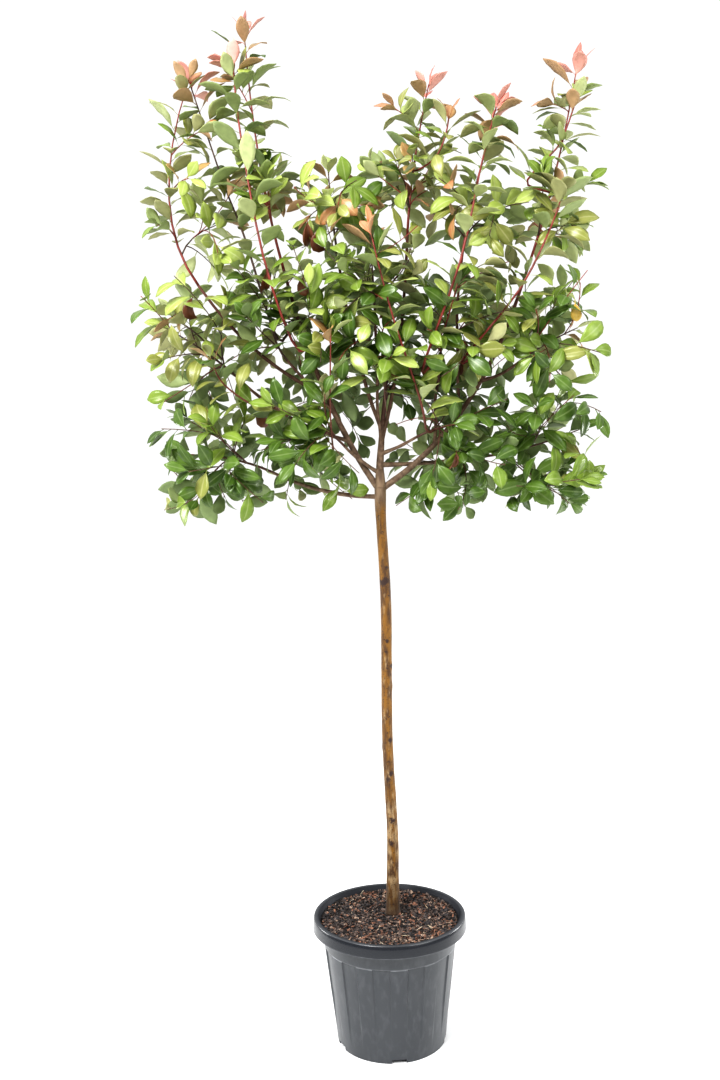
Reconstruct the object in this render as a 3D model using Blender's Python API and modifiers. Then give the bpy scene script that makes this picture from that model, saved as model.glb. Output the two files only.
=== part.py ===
# Red robin photinia trained as a flat crown on a clear stem, in its ribbed nursery pot.
# Metres, +Z up, +X to the right of the crown's face, -Y towards its front.
# The origin is the middle of the pot's flat underside.
import math
import random

import bmesh
import bpy
from mathutils import Matrix, Vector
from mathutils.bvhtree import BVHTree

# Clearance between neighbouring solids
CLEARANCE = 0.0003

# Pot: a thin moulded shell with a turned-down lip, a plain collar that stands proud of the
# wall, and twelve ribs as proud as the collar
POT_HEIGHT = 0.321
POT_WALL = 0.0024
LIP_RADIUS = 0.1960
LIP_DROP = 0.030
RIM_RADIUS = 0.1924
THROAT_RADIUS = 0.1800
COLLAR_TOP_RADIUS = 0.1720
COLLAR_TOP = 0.289
COLLAR_BASE_RADIUS = 0.1684
COLLAR_BASE = 0.252
WALL_TOP_RADIUS = 0.1650
POT_WAIST_RADIUS = 0.1500
POT_WAIST = 0.120
POT_FOOT_RADIUS = 0.1390
POT_STEPS = 60
RIB_COUNT = 12
RIB_PROUD = 0.0030
RIB_TOP = 0.248
RIB_FADE = 0.030
RIB_TURN = math.radians(6)
NOTCH_COUNT = 5
NOTCH_WIDTH = 0.036
NOTCH_HEIGHT = 0.009
NOTCH_DEPTH = 0.016
NOTCH_PROUD = 0.004

# Soil: bark and peat mulch, hollowed a little round the stem and banked up to the rim
SOIL_EDGE_HEIGHT = 0.308
SOIL_HEIGHT = 0.301
SOIL_FLAT_RADIUS = 0.085
SOIL_SIDE_GAP = 0.0008
SOIL_STEPS = 30

# Trunk: height, sideways place, depth and diameter at each station, foot to fork
TRUNK_STATIONS = (
    (SOIL_HEIGHT + CLEARANCE, 0.0100, 0.045, 0.0430),
    (0.3080, 0.0100, 0.045, 0.0400),
    (0.3250, 0.0105, 0.045, 0.0352),
    (0.3900, 0.0115, 0.045, 0.0322),
    (0.5300, 0.0128, 0.044, 0.0296),
    (0.7800, 0.0050, 0.042, 0.0272),
    (1.1000, 0.0080, 0.040, 0.0268),
    (1.3000, 0.0010, 0.039, 0.0256),
    (1.3650, -0.0010, 0.038, 0.0284),
    (1.4050, -0.0005, 0.038, 0.0300),
)
TRUNK_RINGS_PER_STATION = 2
TRUNK_RESOLUTION = 2
BOUGH_RESOLUTION = 1
LIMB_RINGS = 7
LIMB_WAVE = 0.0035

# Boughs: limb it springs from, how far up that limb, tip, bow, base and tip diameters.
# A positive bow sends a bough outwards before it turns up.
BOUGHS = {
    "bough_centre": ("trunk", 1.00, (0.010, 0.040, 1.575), 0.02, 0.0215, 0.0120),
    "bough_left_main": ("trunk", 0.97, (-0.228, 0.030, 1.950), 0.07, 0.0165, 0.0070),
    "bough_right_main": ("trunk", 0.98, (0.372, 0.036, 1.930), 0.13, 0.0160, 0.0070),
    "bough_left_low": ("trunk", 0.93, (-0.275, 0.048, 1.452), 0.10, 0.0120, 0.0068),
    "bough_right_low": ("bough_centre", 0.34, (0.270, 0.088, 1.478), 0.03, 0.0118, 0.0068),
    "bough_left_inner": ("bough_centre", 0.22, (-0.088, 0.000, 1.512), 0.06, 0.0100, 0.0066),
    "bough_right_inner": ("bough_centre", 0.50, (0.092, 0.006, 1.530), 0.04, 0.0096, 0.0066),
    "bough_left_far": ("bough_left_main", 0.50, (-0.440, 0.038, 1.915), 0.10, 0.0098, 0.0066),
    "bough_left_outer": ("bough_left_main", 0.28, (-0.352, 0.010, 1.690), 0.10, 0.0094, 0.0064),
    "bough_left_middle": ("bough_left_main", 0.40, (-0.222, -0.012, 1.722), 0.00, 0.0082, 0.0062),
    "bough_upright": ("bough_centre", 0.84, (-0.096, 0.056, 2.000), 0.05, 0.0098, 0.0064),
    "bough_leader": ("bough_centre", 0.66, (0.080, 0.046, 2.030), 0.05, 0.0104, 0.0066),
    "bough_front": ("bough_centre", 0.60, (-0.006, -0.030, 1.830), 0.06, 0.0080, 0.0062),
    "bough_right_middle": ("bough_right_main", 0.30, (0.150, 0.000, 1.700), -0.06, 0.0084, 0.0062),
    "bough_right_upper": ("bough_right_main", 0.46, (0.212, 0.040, 1.955), -0.06, 0.0084, 0.0064),
    "bough_right_outer": ("bough_right_main", 0.60, (0.350, 0.018, 1.710), 0.10, 0.0082, 0.0062),
}

# Masses of foliage: bough, middle, half sizes, tip of the stem, and any further tips that
# the crown's outline reaches there. Each keeps to the points nearer its own middle than
# any other's.
MASSES = {
    "foliage_left_low": (
        "bough_left_low", (-0.415, 0.030, 1.475), (0.160, 0.200, 0.165), (-0.500, 0.020, 1.500),
        ((-0.450, -0.030, 1.390), (-0.390, 0.030, 1.390)),
    ),
    "foliage_left_inner": (
        "bough_left_inner", (-0.170, 0.020, 1.530), (0.170, 0.200, 0.200), (-0.225, -0.020, 1.620),
        ((-0.213, -0.040, 1.410),),
    ),
    "foliage_centre_low": (
        "bough_centre", (0.015, 0.030, 1.700), (0.150, 0.200, 0.170), (0.035, 0.020, 1.780), (),
    ),
    "foliage_right_inner": (
        "bough_right_inner", (0.175, 0.020, 1.510), (0.170, 0.200, 0.190), (0.245, 0.000, 1.560),
        ((0.211, -0.030, 1.410),),
    ),
    "foliage_right_low": (
        "bough_right_low", (0.410, 0.030, 1.490), (0.150, 0.200, 0.165), (0.500, 0.030, 1.540),
        ((0.385, -0.030, 1.410),),
    ),
    "foliage_left_outer": (
        "bough_left_outer", (-0.440, 0.020, 1.770), (0.160, 0.200, 0.180), (-0.520, 0.010, 1.810), (),
    ),
    "foliage_left_middle": (
        "bough_left_middle", (-0.225, 0.020, 1.820), (0.160, 0.200, 0.190), (-0.245, -0.020, 1.930), (),
    ),
    "foliage_centre_high": (
        "bough_front", (-0.015, 0.010, 1.945), (0.140, 0.195, 0.160), (-0.015, -0.050, 2.020), (),
    ),
    "foliage_right_middle": (
        "bough_right_middle", (0.195, 0.020, 1.800), (0.160, 0.200, 0.180), (0.205, -0.020, 1.910), (),
    ),
    "foliage_right_outer": (
        "bough_right_outer", (0.415, 0.030, 1.780), (0.150, 0.200, 0.180), (0.495, 0.020, 1.790), (),
    ),
    "foliage_left_far": (
        "bough_left_far", (-0.430, 0.030, 2.150), (0.150, 0.170, 0.315), (-0.445, 0.020, 2.405),
        ((-0.412, 0.000, 2.280),),
    ),
    "foliage_left_leader": (
        "bough_left_main", (-0.260, 0.020, 2.250), (0.140, 0.165, 0.325), (-0.306, 0.010, 2.505),
        ((-0.335, 0.000, 2.400),),
    ),
    "foliage_upright": (
        "bough_upright", (-0.100, 0.040, 2.120), (0.130, 0.180, 0.165), (-0.112, 0.040, 2.185), (),
    ),
    "foliage_right_leader": (
        "bough_leader", (0.095, 0.040, 2.235), (0.150, 0.170, 0.225), (0.138, 0.030, 2.385),
        ((0.055, 0.030, 2.330),),
    ),
    "foliage_right_shoot": (
        "bough_right_upper", (0.250, 0.020, 2.130), (0.140, 0.180, 0.250), (0.300, 0.000, 2.300), (),
    ),
    "foliage_right_far": (
        "bough_right_main", (0.435, 0.030, 2.190), (0.140, 0.175, 0.310), (0.500, 0.030, 2.420),
        ((0.438, 0.020, 2.330),),
    ),
}
SPACE_POWER = 3.2
SPACE_MARGIN = 0.0012

# Twigs and leaves. The leaves are a quarter longer than life, since each stands for two.
TWIGS_PER_MASS = 6
TWIG_RADIUS = 0.0034
TWIG_TIP_RADIUS = 0.0023
TWIG_RINGS = 3
STEM_RINGS = 5
STEM_COLLAR = 0.006
TWIG_LENGTH_MIN = 0.060
TWIG_LENGTH_MAX = 0.220
TWIG_TRIES = 60
TWIG_ON_STEM = 0.6
TWIG_BEND = 0.45
AIM_REACH = 0.72
AIM_DRAWS = 16
LIMB_MARGIN = 0.0050
LEAVES_PER_MASS = 31
STEM_BARE = 0.14
TWIG_BARE = 0.24
LEAVED_SHARE = 0.86
LEAF_TRIES = 15
LEAF_SPREAD = math.radians(24)
LEAF_SPREAD_MORE = math.radians(40)
LEAF_SPREAD_STEP = math.radians(3)
LEAF_FACE_UP = 0.30
LEAF_FACE_OUT = 0.5
LEAF_LENGTH = 0.112
LEAF_WIDTH = 0.048
LEAF_THICKNESS = 0.0030
LEAF_WIDEST = 0.44
LEAF_FOLD = 0.20
LEAF_DROOP = 0.06
LEAF_SINK = 0.7
TIP_LEAF_SINK = 0.0022
GROWTH_GAP = 0.0008
GROWTH_SEED = 9

# Colours: base colour, roughness
POT_FINISH = ((0.100, 0.112, 0.120), 0.50)
SOIL_FINISH = ((0.055, 0.032, 0.022), 0.95)
TRUNK_FINISH = ((0.270, 0.150, 0.055), 0.72)
BOUGH_FINISH = ((0.130, 0.095, 0.065), 0.80)
FOLIAGE_FINISH = ((0.055, 0.130, 0.030), 0.40)


for old in list(bpy.data.objects):
    bpy.data.objects.remove(old, do_unlink=True)

plant = bpy.data.collections.new("photinia_in_pot")
bpy.context.scene.collection.children.link(plant)
cutters = bpy.data.collections.new("cutters")
bpy.context.scene.collection.children.link(cutters)


# Small helpers for finishes, meshes and Booleans

def add_finish(piece, name, finish):
    colour, roughness = finish
    material = bpy.data.materials.new(name)
    material.use_nodes = True
    shader = material.node_tree.nodes["Principled BSDF"]
    shader.inputs["Base Color"].default_value = (*colour, 1.0)
    shader.inputs["Roughness"].default_value = roughness
    shader.inputs["Metallic"].default_value = 0.0
    piece.data.materials.clear()
    piece.data.materials.append(material)


def evaluated_mesh(piece):
    bpy.context.view_layer.update()
    graph = bpy.context.evaluated_depsgraph_get()
    return bpy.data.meshes.new_from_object(piece.evaluated_get(graph))


def apply_modifiers(piece):
    mesh = evaluated_mesh(piece)
    piece.modifiers.clear()
    piece.data = mesh


def keep_largest_body(mesh):
    # A cut or a union can leave a loose scrap, which is dropped.
    shape = bmesh.new()
    shape.from_mesh(mesh)
    unseen = set(shape.faces)
    bodies = []
    while unseen:
        front = [unseen.pop()]
        body = set(front)
        while front:
            face = front.pop()
            for edge in face.edges:
                for other in edge.link_faces:
                    if other in unseen:
                        unseen.remove(other)
                        body.add(other)
                        front.append(other)
        bodies.append(body)
    bodies.sort(key=len)
    scraps = [face for body in bodies[:-1] for face in body]
    bmesh.ops.delete(shape, geom=scraps, context="FACES")
    shape.to_mesh(mesh)
    shape.free()


def combine(piece, operation, others, solver):
    # One Boolean of a piece with every object of a collection, then applied.
    boolean = piece.modifiers.new(operation.lower(), "BOOLEAN")
    boolean.operation = operation
    boolean.operand_type = "COLLECTION"
    boolean.collection = others
    boolean.solver = solver
    apply_modifiers(piece)
    keep_largest_body(piece.data)
    for other in list(others.objects):
        bpy.data.objects.remove(other, do_unlink=True)


# Pot and soil are turned from a profile

def turned_object(name, profile, steps, collection):
    # A profile of (radius, height) pairs turned once about the upright axis.
    mesh = bpy.data.meshes.new(name)
    points = [(radius, 0.0, height) for radius, height in profile]
    edges = [(index, index + 1) for index in range(len(points) - 1)]
    mesh.from_pydata(points, edges, [])
    piece = bpy.data.objects.new(name, mesh)
    collection.objects.link(piece)
    screw = piece.modifiers.new("turn", "SCREW")
    screw.axis = "Z"
    screw.angle = math.tau
    screw.steps = steps
    screw.render_steps = steps
    screw.use_merge_vertices = True
    screw.merge_threshold = 0.00001
    screw.use_smooth_shade = True
    apply_modifiers(piece)
    return piece


def rib_strength(x, y):
    # One on a rib and zero on the plain strip beside it, from the angle round the pot.
    angle = math.atan2(x, -y) - RIB_TURN
    phase = math.cos(angle * RIB_COUNT)
    return min(1.0, max(0.0, 0.5 + 1.6 * phase))


def wall_radius(height):
    # Plain inner radius of the pot's wall below the collar.
    stations = (
        (0.0, POT_FOOT_RADIUS),
        (POT_WAIST, POT_WAIST_RADIUS),
        (RIB_TOP, WALL_TOP_RADIUS),
        (COLLAR_BASE, COLLAR_BASE_RADIUS),
        (COLLAR_TOP, COLLAR_TOP_RADIUS),
        (POT_HEIGHT, THROAT_RADIUS + POT_WALL),
    )
    for (low, low_radius), (high, high_radius) in zip(stations, stations[1:]):
        if height <= high:
            share = (height - low) / (high - low)
            return low_radius + (high_radius - low_radius) * share - POT_WALL
    return THROAT_RADIUS


def make_pot():
    lip_low = POT_HEIGHT - LIP_DROP
    profile = [
        (LIP_RADIUS, lip_low),
        (RIM_RADIUS, POT_HEIGHT),
        (THROAT_RADIUS, POT_HEIGHT),
        (wall_radius(COLLAR_TOP), COLLAR_TOP),
        (wall_radius(COLLAR_BASE), COLLAR_BASE),
        (wall_radius(RIB_TOP), RIB_TOP),
        (wall_radius(POT_WAIST), POT_WAIST),
        (wall_radius(RIB_FADE), RIB_FADE),
        (wall_radius(0.0), POT_WALL),
        (0.0, POT_WALL),
    ]
    pot = turned_object("pot", profile, POT_STEPS, plant)
    for vertex in pot.data.vertices:
        x, y, z = vertex.co
        if RIB_FADE * 1.01 < z < RIB_TOP + 0.001:
            radius = math.hypot(x, y)
            fade = min(1.0, (z - RIB_FADE) / (POT_WAIST - RIB_FADE))
            grow = 1.0 + RIB_PROUD * fade * rib_strength(x, y) / radius
            vertex.co.x *= grow
            vertex.co.y *= grow
    shell = pot.modifiers.new("wall", "SOLIDIFY")
    shell.thickness = POT_WALL
    shell.offset = 1.0
    shell.use_even_offset = True
    for index in range(NOTCH_COUNT):
        angle = RIB_TURN + index * math.tau / NOTCH_COUNT
        reach = POT_FOOT_RADIUS - NOTCH_DEPTH / 2 + NOTCH_PROUD
        bpy.ops.mesh.primitive_cube_add(size=1.0)
        notch = bpy.context.object
        notch.name = f"notch_{index + 1}"
        notch.data.transform(Matrix.Diagonal((NOTCH_WIDTH, NOTCH_DEPTH, NOTCH_HEIGHT * 2, 1.0)))
        notch.location = (math.sin(angle) * reach, -math.cos(angle) * reach, 0.0)
        notch.rotation_euler.z = angle
        notch.hide_render = True
        notch.display_type = "WIRE"
        for home in list(notch.users_collection):
            home.objects.unlink(notch)
        cutters.objects.link(notch)
        cut = pot.modifiers.new(f"cut_notch_{index + 1}", "BOOLEAN")
        cut.operation = "DIFFERENCE"
        cut.object = notch
        cut.solver = "EXACT"
    add_finish(pot, "pot_plastic", POT_FINISH)
    return pot


def make_soil():
    gap = SOIL_SIDE_GAP
    floor = POT_WALL + CLEARANCE
    profile = [
        (0.0, SOIL_HEIGHT),
        (SOIL_FLAT_RADIUS, SOIL_HEIGHT),
        (wall_radius(SOIL_EDGE_HEIGHT) - gap, SOIL_EDGE_HEIGHT),
        (wall_radius(COLLAR_TOP) - gap, COLLAR_TOP),
        (wall_radius(RIB_TOP) - gap, RIB_TOP),
        (wall_radius(floor) - gap - NOTCH_DEPTH, floor),
        (0.0, floor),
    ]
    soil = turned_object("soil", profile, SOIL_STEPS, plant)
    add_finish(soil, "soil_mulch", SOIL_FINISH)
    return soil


# Limbs are round tubes that taper along a path

def limb_point(limb, share):
    # Place, radius and heading at a share of a limb's length.
    points, radii = limb
    position = max(0.0, min(1.0, share)) * (len(points) - 1)
    index = min(int(position), len(points) - 2)
    local = position - index
    place = points[index].lerp(points[index + 1], local)
    radius = radii[index] + (radii[index + 1] - radii[index]) * local
    heading = (points[index + 1] - points[index]).normalized()
    return place, radius, heading


def trunk_limb():
    # A smooth line through the stations; the first two rings stay upright for a flat foot.
    stations = [(Vector((x, y, z)), diameter / 2) for z, x, y, diameter in TRUNK_STATIONS]
    points = []
    radii = []
    last = len(stations) - 1
    for index in range(last):
        before = stations[max(index - 1, 0)]
        here = stations[index]
        after = stations[index + 1]
        beyond = stations[min(index + 2, last)]
        for step in range(TRUNK_RINGS_PER_STATION):
            t = step / TRUNK_RINGS_PER_STATION
            weights = (
                -0.5 * t + t * t - 0.5 * t ** 3,
                1.0 - 2.5 * t * t + 1.5 * t ** 3,
                0.5 * t + 2.0 * t * t - 1.5 * t ** 3,
                -0.5 * t * t + 0.5 * t ** 3,
            )
            near = (before, here, after, beyond)
            point = Vector()
            radius = 0.0
            for weight, (place, size) in zip(weights, near):
                point += place * weight
                radius += size * weight
            points.append(point)
            radii.append(radius)
    points.append(stations[-1][0])
    radii.append(stations[-1][1])
    points[1].x = points[0].x
    points[1].y = points[0].y
    points[-2].x = points[-1].x
    points[-2].y = points[-1].y
    return points, radii


def bough_limb(name, limbs):
    parent, share, tip, bow, base_diameter, tip_diameter = BOUGHS[name]
    start, _, heading = limb_point(limbs[parent], share)
    if share == 1.0:
        start = start + heading * CLEARANCE
    end = Vector(tip)
    chord = end - start
    span = chord.length
    outwards = Vector((chord.x, chord.y, 0.0))
    outwards = outwards.normalized() if outwards.length > 0.001 else Vector((1, 0, 0))
    bend = start + chord * 0.45 + (outwards - Vector((0, 0, 1))) * bow * span
    if share == 1.0:
        bend = start + Vector((0, 0, span * 0.5))
    draw = random.Random(name)
    phase = draw.uniform(0, math.tau)
    side = chord.cross(Vector((0, 0, 1)))
    side = side.normalized() if side.length > 0.001 else Vector((1, 0, 0))
    points = []
    radii = []
    for ring in range(LIMB_RINGS):
        t = ring / (LIMB_RINGS - 1)
        point = start * (1 - t) ** 2 + bend * 2 * t * (1 - t) + end * t * t
        sway = math.sin(t * math.pi) * math.sin(t * 9 + phase) * LIMB_WAVE
        points.append(point + side * sway)
        taper = (1 - t) ** 0.85
        radii.append((tip_diameter + (base_diameter - tip_diameter) * taper) / 2)
    return points, radii


def tube_object(name, limb, extra, resolution, collection):
    # A closed tube as a mesh; extra widens it evenly and lengthens both ends.
    points, radii = limb
    curve = bpy.data.curves.new(name, "CURVE")
    curve.dimensions = "3D"
    curve.bevel_depth = 1.0
    curve.bevel_resolution = resolution
    curve.use_fill_caps = True
    spline = curve.splines.new("POLY")
    spline.points.add(len(points) - 1)
    last = len(points) - 1
    for index, (point, radius) in enumerate(zip(points, radii)):
        place = point.copy()
        if index == 0:
            place -= (points[1] - points[0]).normalized() * extra
        if index == last:
            place += (points[last] - points[last - 1]).normalized() * extra
        spline.points[index].co = (*place, 1.0)
        spline.points[index].radius = radius + extra
    guide = bpy.data.objects.new(name + "_line", curve)
    collection.objects.link(guide)
    mesh = evaluated_mesh(guide)
    bpy.data.objects.remove(guide, do_unlink=True)
    shape = bmesh.new()
    shape.from_mesh(mesh)
    bmesh.ops.remove_doubles(shape, verts=shape.verts, dist=0.00001)
    bmesh.ops.recalc_face_normals(shape, faces=shape.faces)
    shape.to_mesh(mesh)
    shape.free()
    mesh.shade_smooth()
    mesh.set_sharp_from_angle(angle=math.radians(50))
    piece = bpy.data.objects.new(name, mesh)
    collection.objects.link(piece)
    return piece


def limbs_touch(limb, other):
    # True where two limbs come within a hair of each other.
    for step in range(33):
        point, radius, _ = limb_point(limb, step / 32)
        if distance_to_limb(point, other) < radius + 2 * CLEARANCE:
            return True
    return False


def make_limbs():
    # Each bough is cut clear of the limb it springs from and of those made before it.
    limbs = {"trunk": trunk_limb()}
    trunk = tube_object("trunk", limbs["trunk"], 0.0, TRUNK_RESOLUTION, plant)
    add_finish(trunk, "trunk_bark", TRUNK_FINISH)
    spare = bpy.data.collections.new("limb_clearances")
    bpy.context.scene.collection.children.link(spare)
    for name in BOUGHS:
        limb = bough_limb(name, limbs)
        bough = tube_object(name, limb, 0.0, BOUGH_RESOLUTION, plant)
        on_top = BOUGHS[name][1] == 1.0
        for other, other_limb in limbs.items():
            if on_top and other == BOUGHS[name][0]:
                continue
            if limbs_touch(limb, other_limb):
                resolution = TRUNK_RESOLUTION if other == "trunk" else BOUGH_RESOLUTION
                tube_object(other + "_clearance", other_limb, CLEARANCE, resolution, spare)
        if spare.objects:
            combine(bough, "DIFFERENCE", spare, "EXACT")
        add_finish(bough, name + "_bark", BOUGH_FINISH)
        limbs[name] = limb
    bpy.data.collections.remove(spare)
    return limbs


# Space that a mass of foliage may fill

def distance_to_limb(point, limb):
    # Gap between a point and a limb's surface, less than zero inside it.
    points, radii = limb
    nearest = 1.0e9
    for index in range(len(points) - 1):
        low = points[index]
        along = points[index + 1] - low
        share = (point - low).dot(along) / along.length_squared
        share = max(0.0, min(1.0, share))
        radius = radii[index] + (radii[index + 1] - radii[index]) * share
        nearest = min(nearest, (point - low - along * share).length - radius)
    return nearest


def in_space(point, name):
    # True inside the mass's rounded box and nearer its middle than any other's.
    middle = Vector(MASSES[name][1])
    half = MASSES[name][2]
    offset = point - middle
    size = 0.0
    for axis in range(3):
        size += abs(offset[axis] / half[axis]) ** SPACE_POWER
    if size > 1.0:
        return False
    for other, entry in MASSES.items():
        if other == name:
            continue
        apart = Vector(entry[1]) - middle
        if offset.dot(apart) / apart.length > apart.length / 2 - SPACE_MARGIN:
            return False
    return True


def limb_fence(limbs):
    # The surfaces of all limbs, widened, which no twig or leaf may cross.
    spare = bpy.data.collections.new("limb_fence")
    bpy.context.scene.collection.children.link(spare)
    corners = []
    faces = []
    for name, limb in limbs.items():
        tube = tube_object(name + "_fence", limb, LIMB_MARGIN, BOUGH_RESOLUTION, spare)
        first = len(corners)
        corners += [vertex.co.copy() for vertex in tube.data.vertices]
        for polygon in tube.data.polygons:
            faces.append([index + first for index in polygon.vertices])
        bpy.data.objects.remove(tube, do_unlink=True)
    bpy.data.collections.remove(spare)
    return BVHTree.FromPolygons(corners, faces)


# Twigs and leaves

def bent_line(start, heading, end, rings):
    # A line that leaves along a heading and bends over to its end.
    span = (end - start).length
    bend = start + heading.normalized() * span * TWIG_BEND
    points = []
    for ring in range(rings):
        t = ring / (rings - 1)
        points.append(start * (1 - t) ** 2 + bend * 2 * t * (1 - t) + end * t * t)
    return points


def ring_arm(heading, angle):
    # A direction square to a twig's heading, at an angle round it.
    across = heading.cross(Vector((0.31, 0.94, 0.14))).normalized()
    over = heading.cross(across)
    return across * math.cos(angle) + over * math.sin(angle)


def twig_shape(limb, extra):
    # A three-sided tapering twig, closed at both ends; extra widens it.
    points, radii = limb
    corners = []
    for index, (point, radius) in enumerate(zip(points, radii)):
        ahead = points[min(index + 1, len(points) - 1)]
        behind = points[max(index - 1, 0)]
        heading = (ahead - behind).normalized()
        for corner in range(3):
            arm = ring_arm(heading, corner * math.tau / 3)
            corners.append(point + arm * (radius + extra))
    faces = [(2, 1, 0)]
    for ring in range(len(points) - 1):
        low = ring * 3
        high = low + 3
        for corner in range(3):
            after = (corner + 1) % 3
            faces.append((low + corner, low + after, high + after, high + corner))
    last = len(corners) - 3
    faces.append((last, last + 1, last + 2))
    return corners, faces


def leaf_shape(root, axis, face, length, extra):
    # Eight faces: four from the root to the widest section and four on to the tip.
    across = axis.cross(face).normalized()
    over = across.cross(axis).normalized()
    middle = root + axis * length * LEAF_WIDEST
    half_width = LEAF_WIDTH / 2 * length / LEAF_LENGTH + extra
    lift = over * LEAF_FOLD * half_width
    thick = over * (LEAF_THICKNESS / 2 + extra)
    tip = root + axis * (length + extra) - over * length * LEAF_DROOP
    left = middle - across * half_width + lift
    right = middle + across * half_width + lift
    corners = [root, tip, left, middle + thick, right, middle - thick]
    faces = []
    for index in range(4):
        here = index + 2
        after = (index + 1) % 4 + 2
        faces.append((0, here, after))
        faces.append((1, after, here))
    return corners, faces


def solid_object(name, shape, collection):
    corners, faces = shape
    form = bmesh.new()
    vertices = [form.verts.new(corner) for corner in corners]
    for face in faces:
        form.faces.new([vertices[index] for index in face])
    bmesh.ops.recalc_face_normals(form, faces=form.faces)
    mesh = bpy.data.meshes.new(name)
    form.to_mesh(mesh)
    form.free()
    piece = bpy.data.objects.new(name, mesh)
    collection.objects.link(piece)
    return piece


def crosses(shape, others):
    # True where a shape meets any of the others.
    if not others:
        return False
    corners = []
    faces = []
    for other_corners, other_faces in others:
        first = len(corners)
        corners += other_corners
        faces += [tuple(index + first for index in face) for face in other_faces]
    tree = BVHTree.FromPolygons(corners, faces)
    return bool(BVHTree.FromPolygons(*shape).overlap(tree))


def leaf_fits(leaf, name, fence):
    for corner in leaf[0][1:]:
        if not in_space(corner, name):
            return False
    return not BVHTree.FromPolygons(*leaf).overlap(fence)


def twig_fits(twig, name, fence):
    for corner in twig_shape(twig, 0.0)[0]:
        if not in_space(corner, name):
            return False
    return not BVHTree.FromPolygons(*twig_shape(twig, 0.0)).overlap(fence)


def spread_aims(name, draw, count, taken):
    # Points spread evenly through the space: of several draws, the one furthest from the rest.
    middle = Vector(MASSES[name][1])
    half = MASSES[name][2]
    aims = []
    while len(aims) < count:
        best = None
        best_gap = -1.0
        for _ in range(AIM_DRAWS):
            offset = [draw.uniform(-AIM_REACH, AIM_REACH) * size for size in half]
            point = middle + Vector(offset)
            if not in_space(point, name):
                continue
            others = taken + aims
            gap = min((point - other).length for other in others)
            if gap > best_gap:
                best = point
                best_gap = gap
        if best is not None:
            aims.append(best)
    return aims


def grow_twigs(name, draw, limbs, fence):
    # The stem, then twigs that spring from the nearest wood behind each aim.
    bough, middle, half, tip, side_tips = MASSES[name]
    end, radius, heading = limb_point(limbs[bough], 1.0)
    start = end + heading * CLEARANCE
    tip = Vector(tip)
    # The first stretch runs straight on from the bough, so that the two ends lie flat.
    stem_points = [start] + bent_line(start + heading * STEM_COLLAR, heading, tip, STEM_RINGS)
    stem_radii = [radius]
    for ring in range(STEM_RINGS):
        taper = 1 - ring / (STEM_RINGS - 1)
        stem_radii.append(TWIG_TIP_RADIUS + (radius * 0.97 - TWIG_TIP_RADIUS) * taper)
    twigs = [(stem_points, stem_radii)]
    aims = [Vector(side) for side in side_tips]
    aims += spread_aims(name, draw, TWIGS_PER_MASS, [start, tip] + aims)
    for aim in aims:
        for _ in range(TWIG_TRIES):
            parent = twigs[0] if draw.random() < TWIG_ON_STEM else draw.choice(twigs)
            share = draw.uniform(0.12, 0.85)
            place, thickness, along = limb_point(parent, share)
            reach = aim - place
            if not TWIG_LENGTH_MIN < reach.length < TWIG_LENGTH_MAX:
                continue
            if reach.normalized().dot(along) < -0.1:
                continue
            leave = (along * 0.5 + reach.normalized()).normalized()
            points = bent_line(place, leave, aim, TWIG_RINGS)
            base = min(TWIG_RADIUS, thickness * 0.85)
            radii = []
            for ring in range(TWIG_RINGS):
                radii.append(base + (TWIG_TIP_RADIUS - base) * ring / (TWIG_RINGS - 1))
            twig = (points, radii)
            if not twig_fits(twig, name, fence):
                continue
            others = [twig_shape(other, 0.0) for other in twigs if other is not parent]
            if crosses(twig_shape(twig, GROWTH_GAP), others):
                continue
            twigs.append(twig)
            break
    return twigs


def grow_leaves(name, draw, twigs, fence):
    # Leaves stand in turn on the three sides of each twig, closer to its heading near the
    # tip. Each tries the next side, or a wider spread, where it would touch another.
    leaves = []
    depth = MASSES[name][1][1]
    lengths = [sum((b - a).length for a, b in zip(twig[0], twig[0][1:])) for twig in twigs]
    spacing = sum(lengths) * LEAVED_SHARE / LEAVES_PER_MASS
    for twig, length in zip(twigs, lengths):
        first_side = draw.randrange(3)
        bare = STEM_BARE if twig is twigs[0] else TWIG_BARE
        count = max(3, round(length * (1 - bare) / spacing))
        wood = [twig_shape(other, 0.0) for other in twigs if other is not twig]
        for index in range(count):
            share = 1.0 - max(0.0, index - 0.25) / count * (1 - bare)
            place, radius, heading = limb_point(twig, share)
            sink = radius * LEAF_SINK if index else TIP_LEAF_SINK
            for attempt in range(LEAF_TRIES):
                angle = (first_side + index + attempt + 0.5) * math.tau / 3
                spread = attempt * LEAF_SPREAD_STEP
                if index > 0:
                    spread += LEAF_SPREAD + LEAF_SPREAD_MORE * min(1.0, (1 - share) * 2.5)
                arm = ring_arm(heading, angle)
                axis = heading * math.cos(spread) + arm * math.sin(spread)
                axis += Vector((0, 0, draw.uniform(-0.10, 0.18)))
                axis.normalize()
                outwards = -LEAF_FACE_OUT if place.y < depth else LEAF_FACE_OUT
                face = heading - axis * heading.dot(axis) + Vector((0, outwards, LEAF_FACE_UP))
                face -= axis * face.dot(axis)
                if face.length < 0.05:
                    continue
                size = LEAF_LENGTH * draw.uniform(0.82, 1.06)
                root = place - axis * sink
                leaf = leaf_shape(root, axis, face, size, 0.0)
                if not leaf_fits(leaf, name, fence):
                    continue
                if crosses(leaf_shape(root, axis, face, size, GROWTH_GAP), wood + leaves):
                    continue
                leaves.append(leaf)
                break
    return leaves


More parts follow.
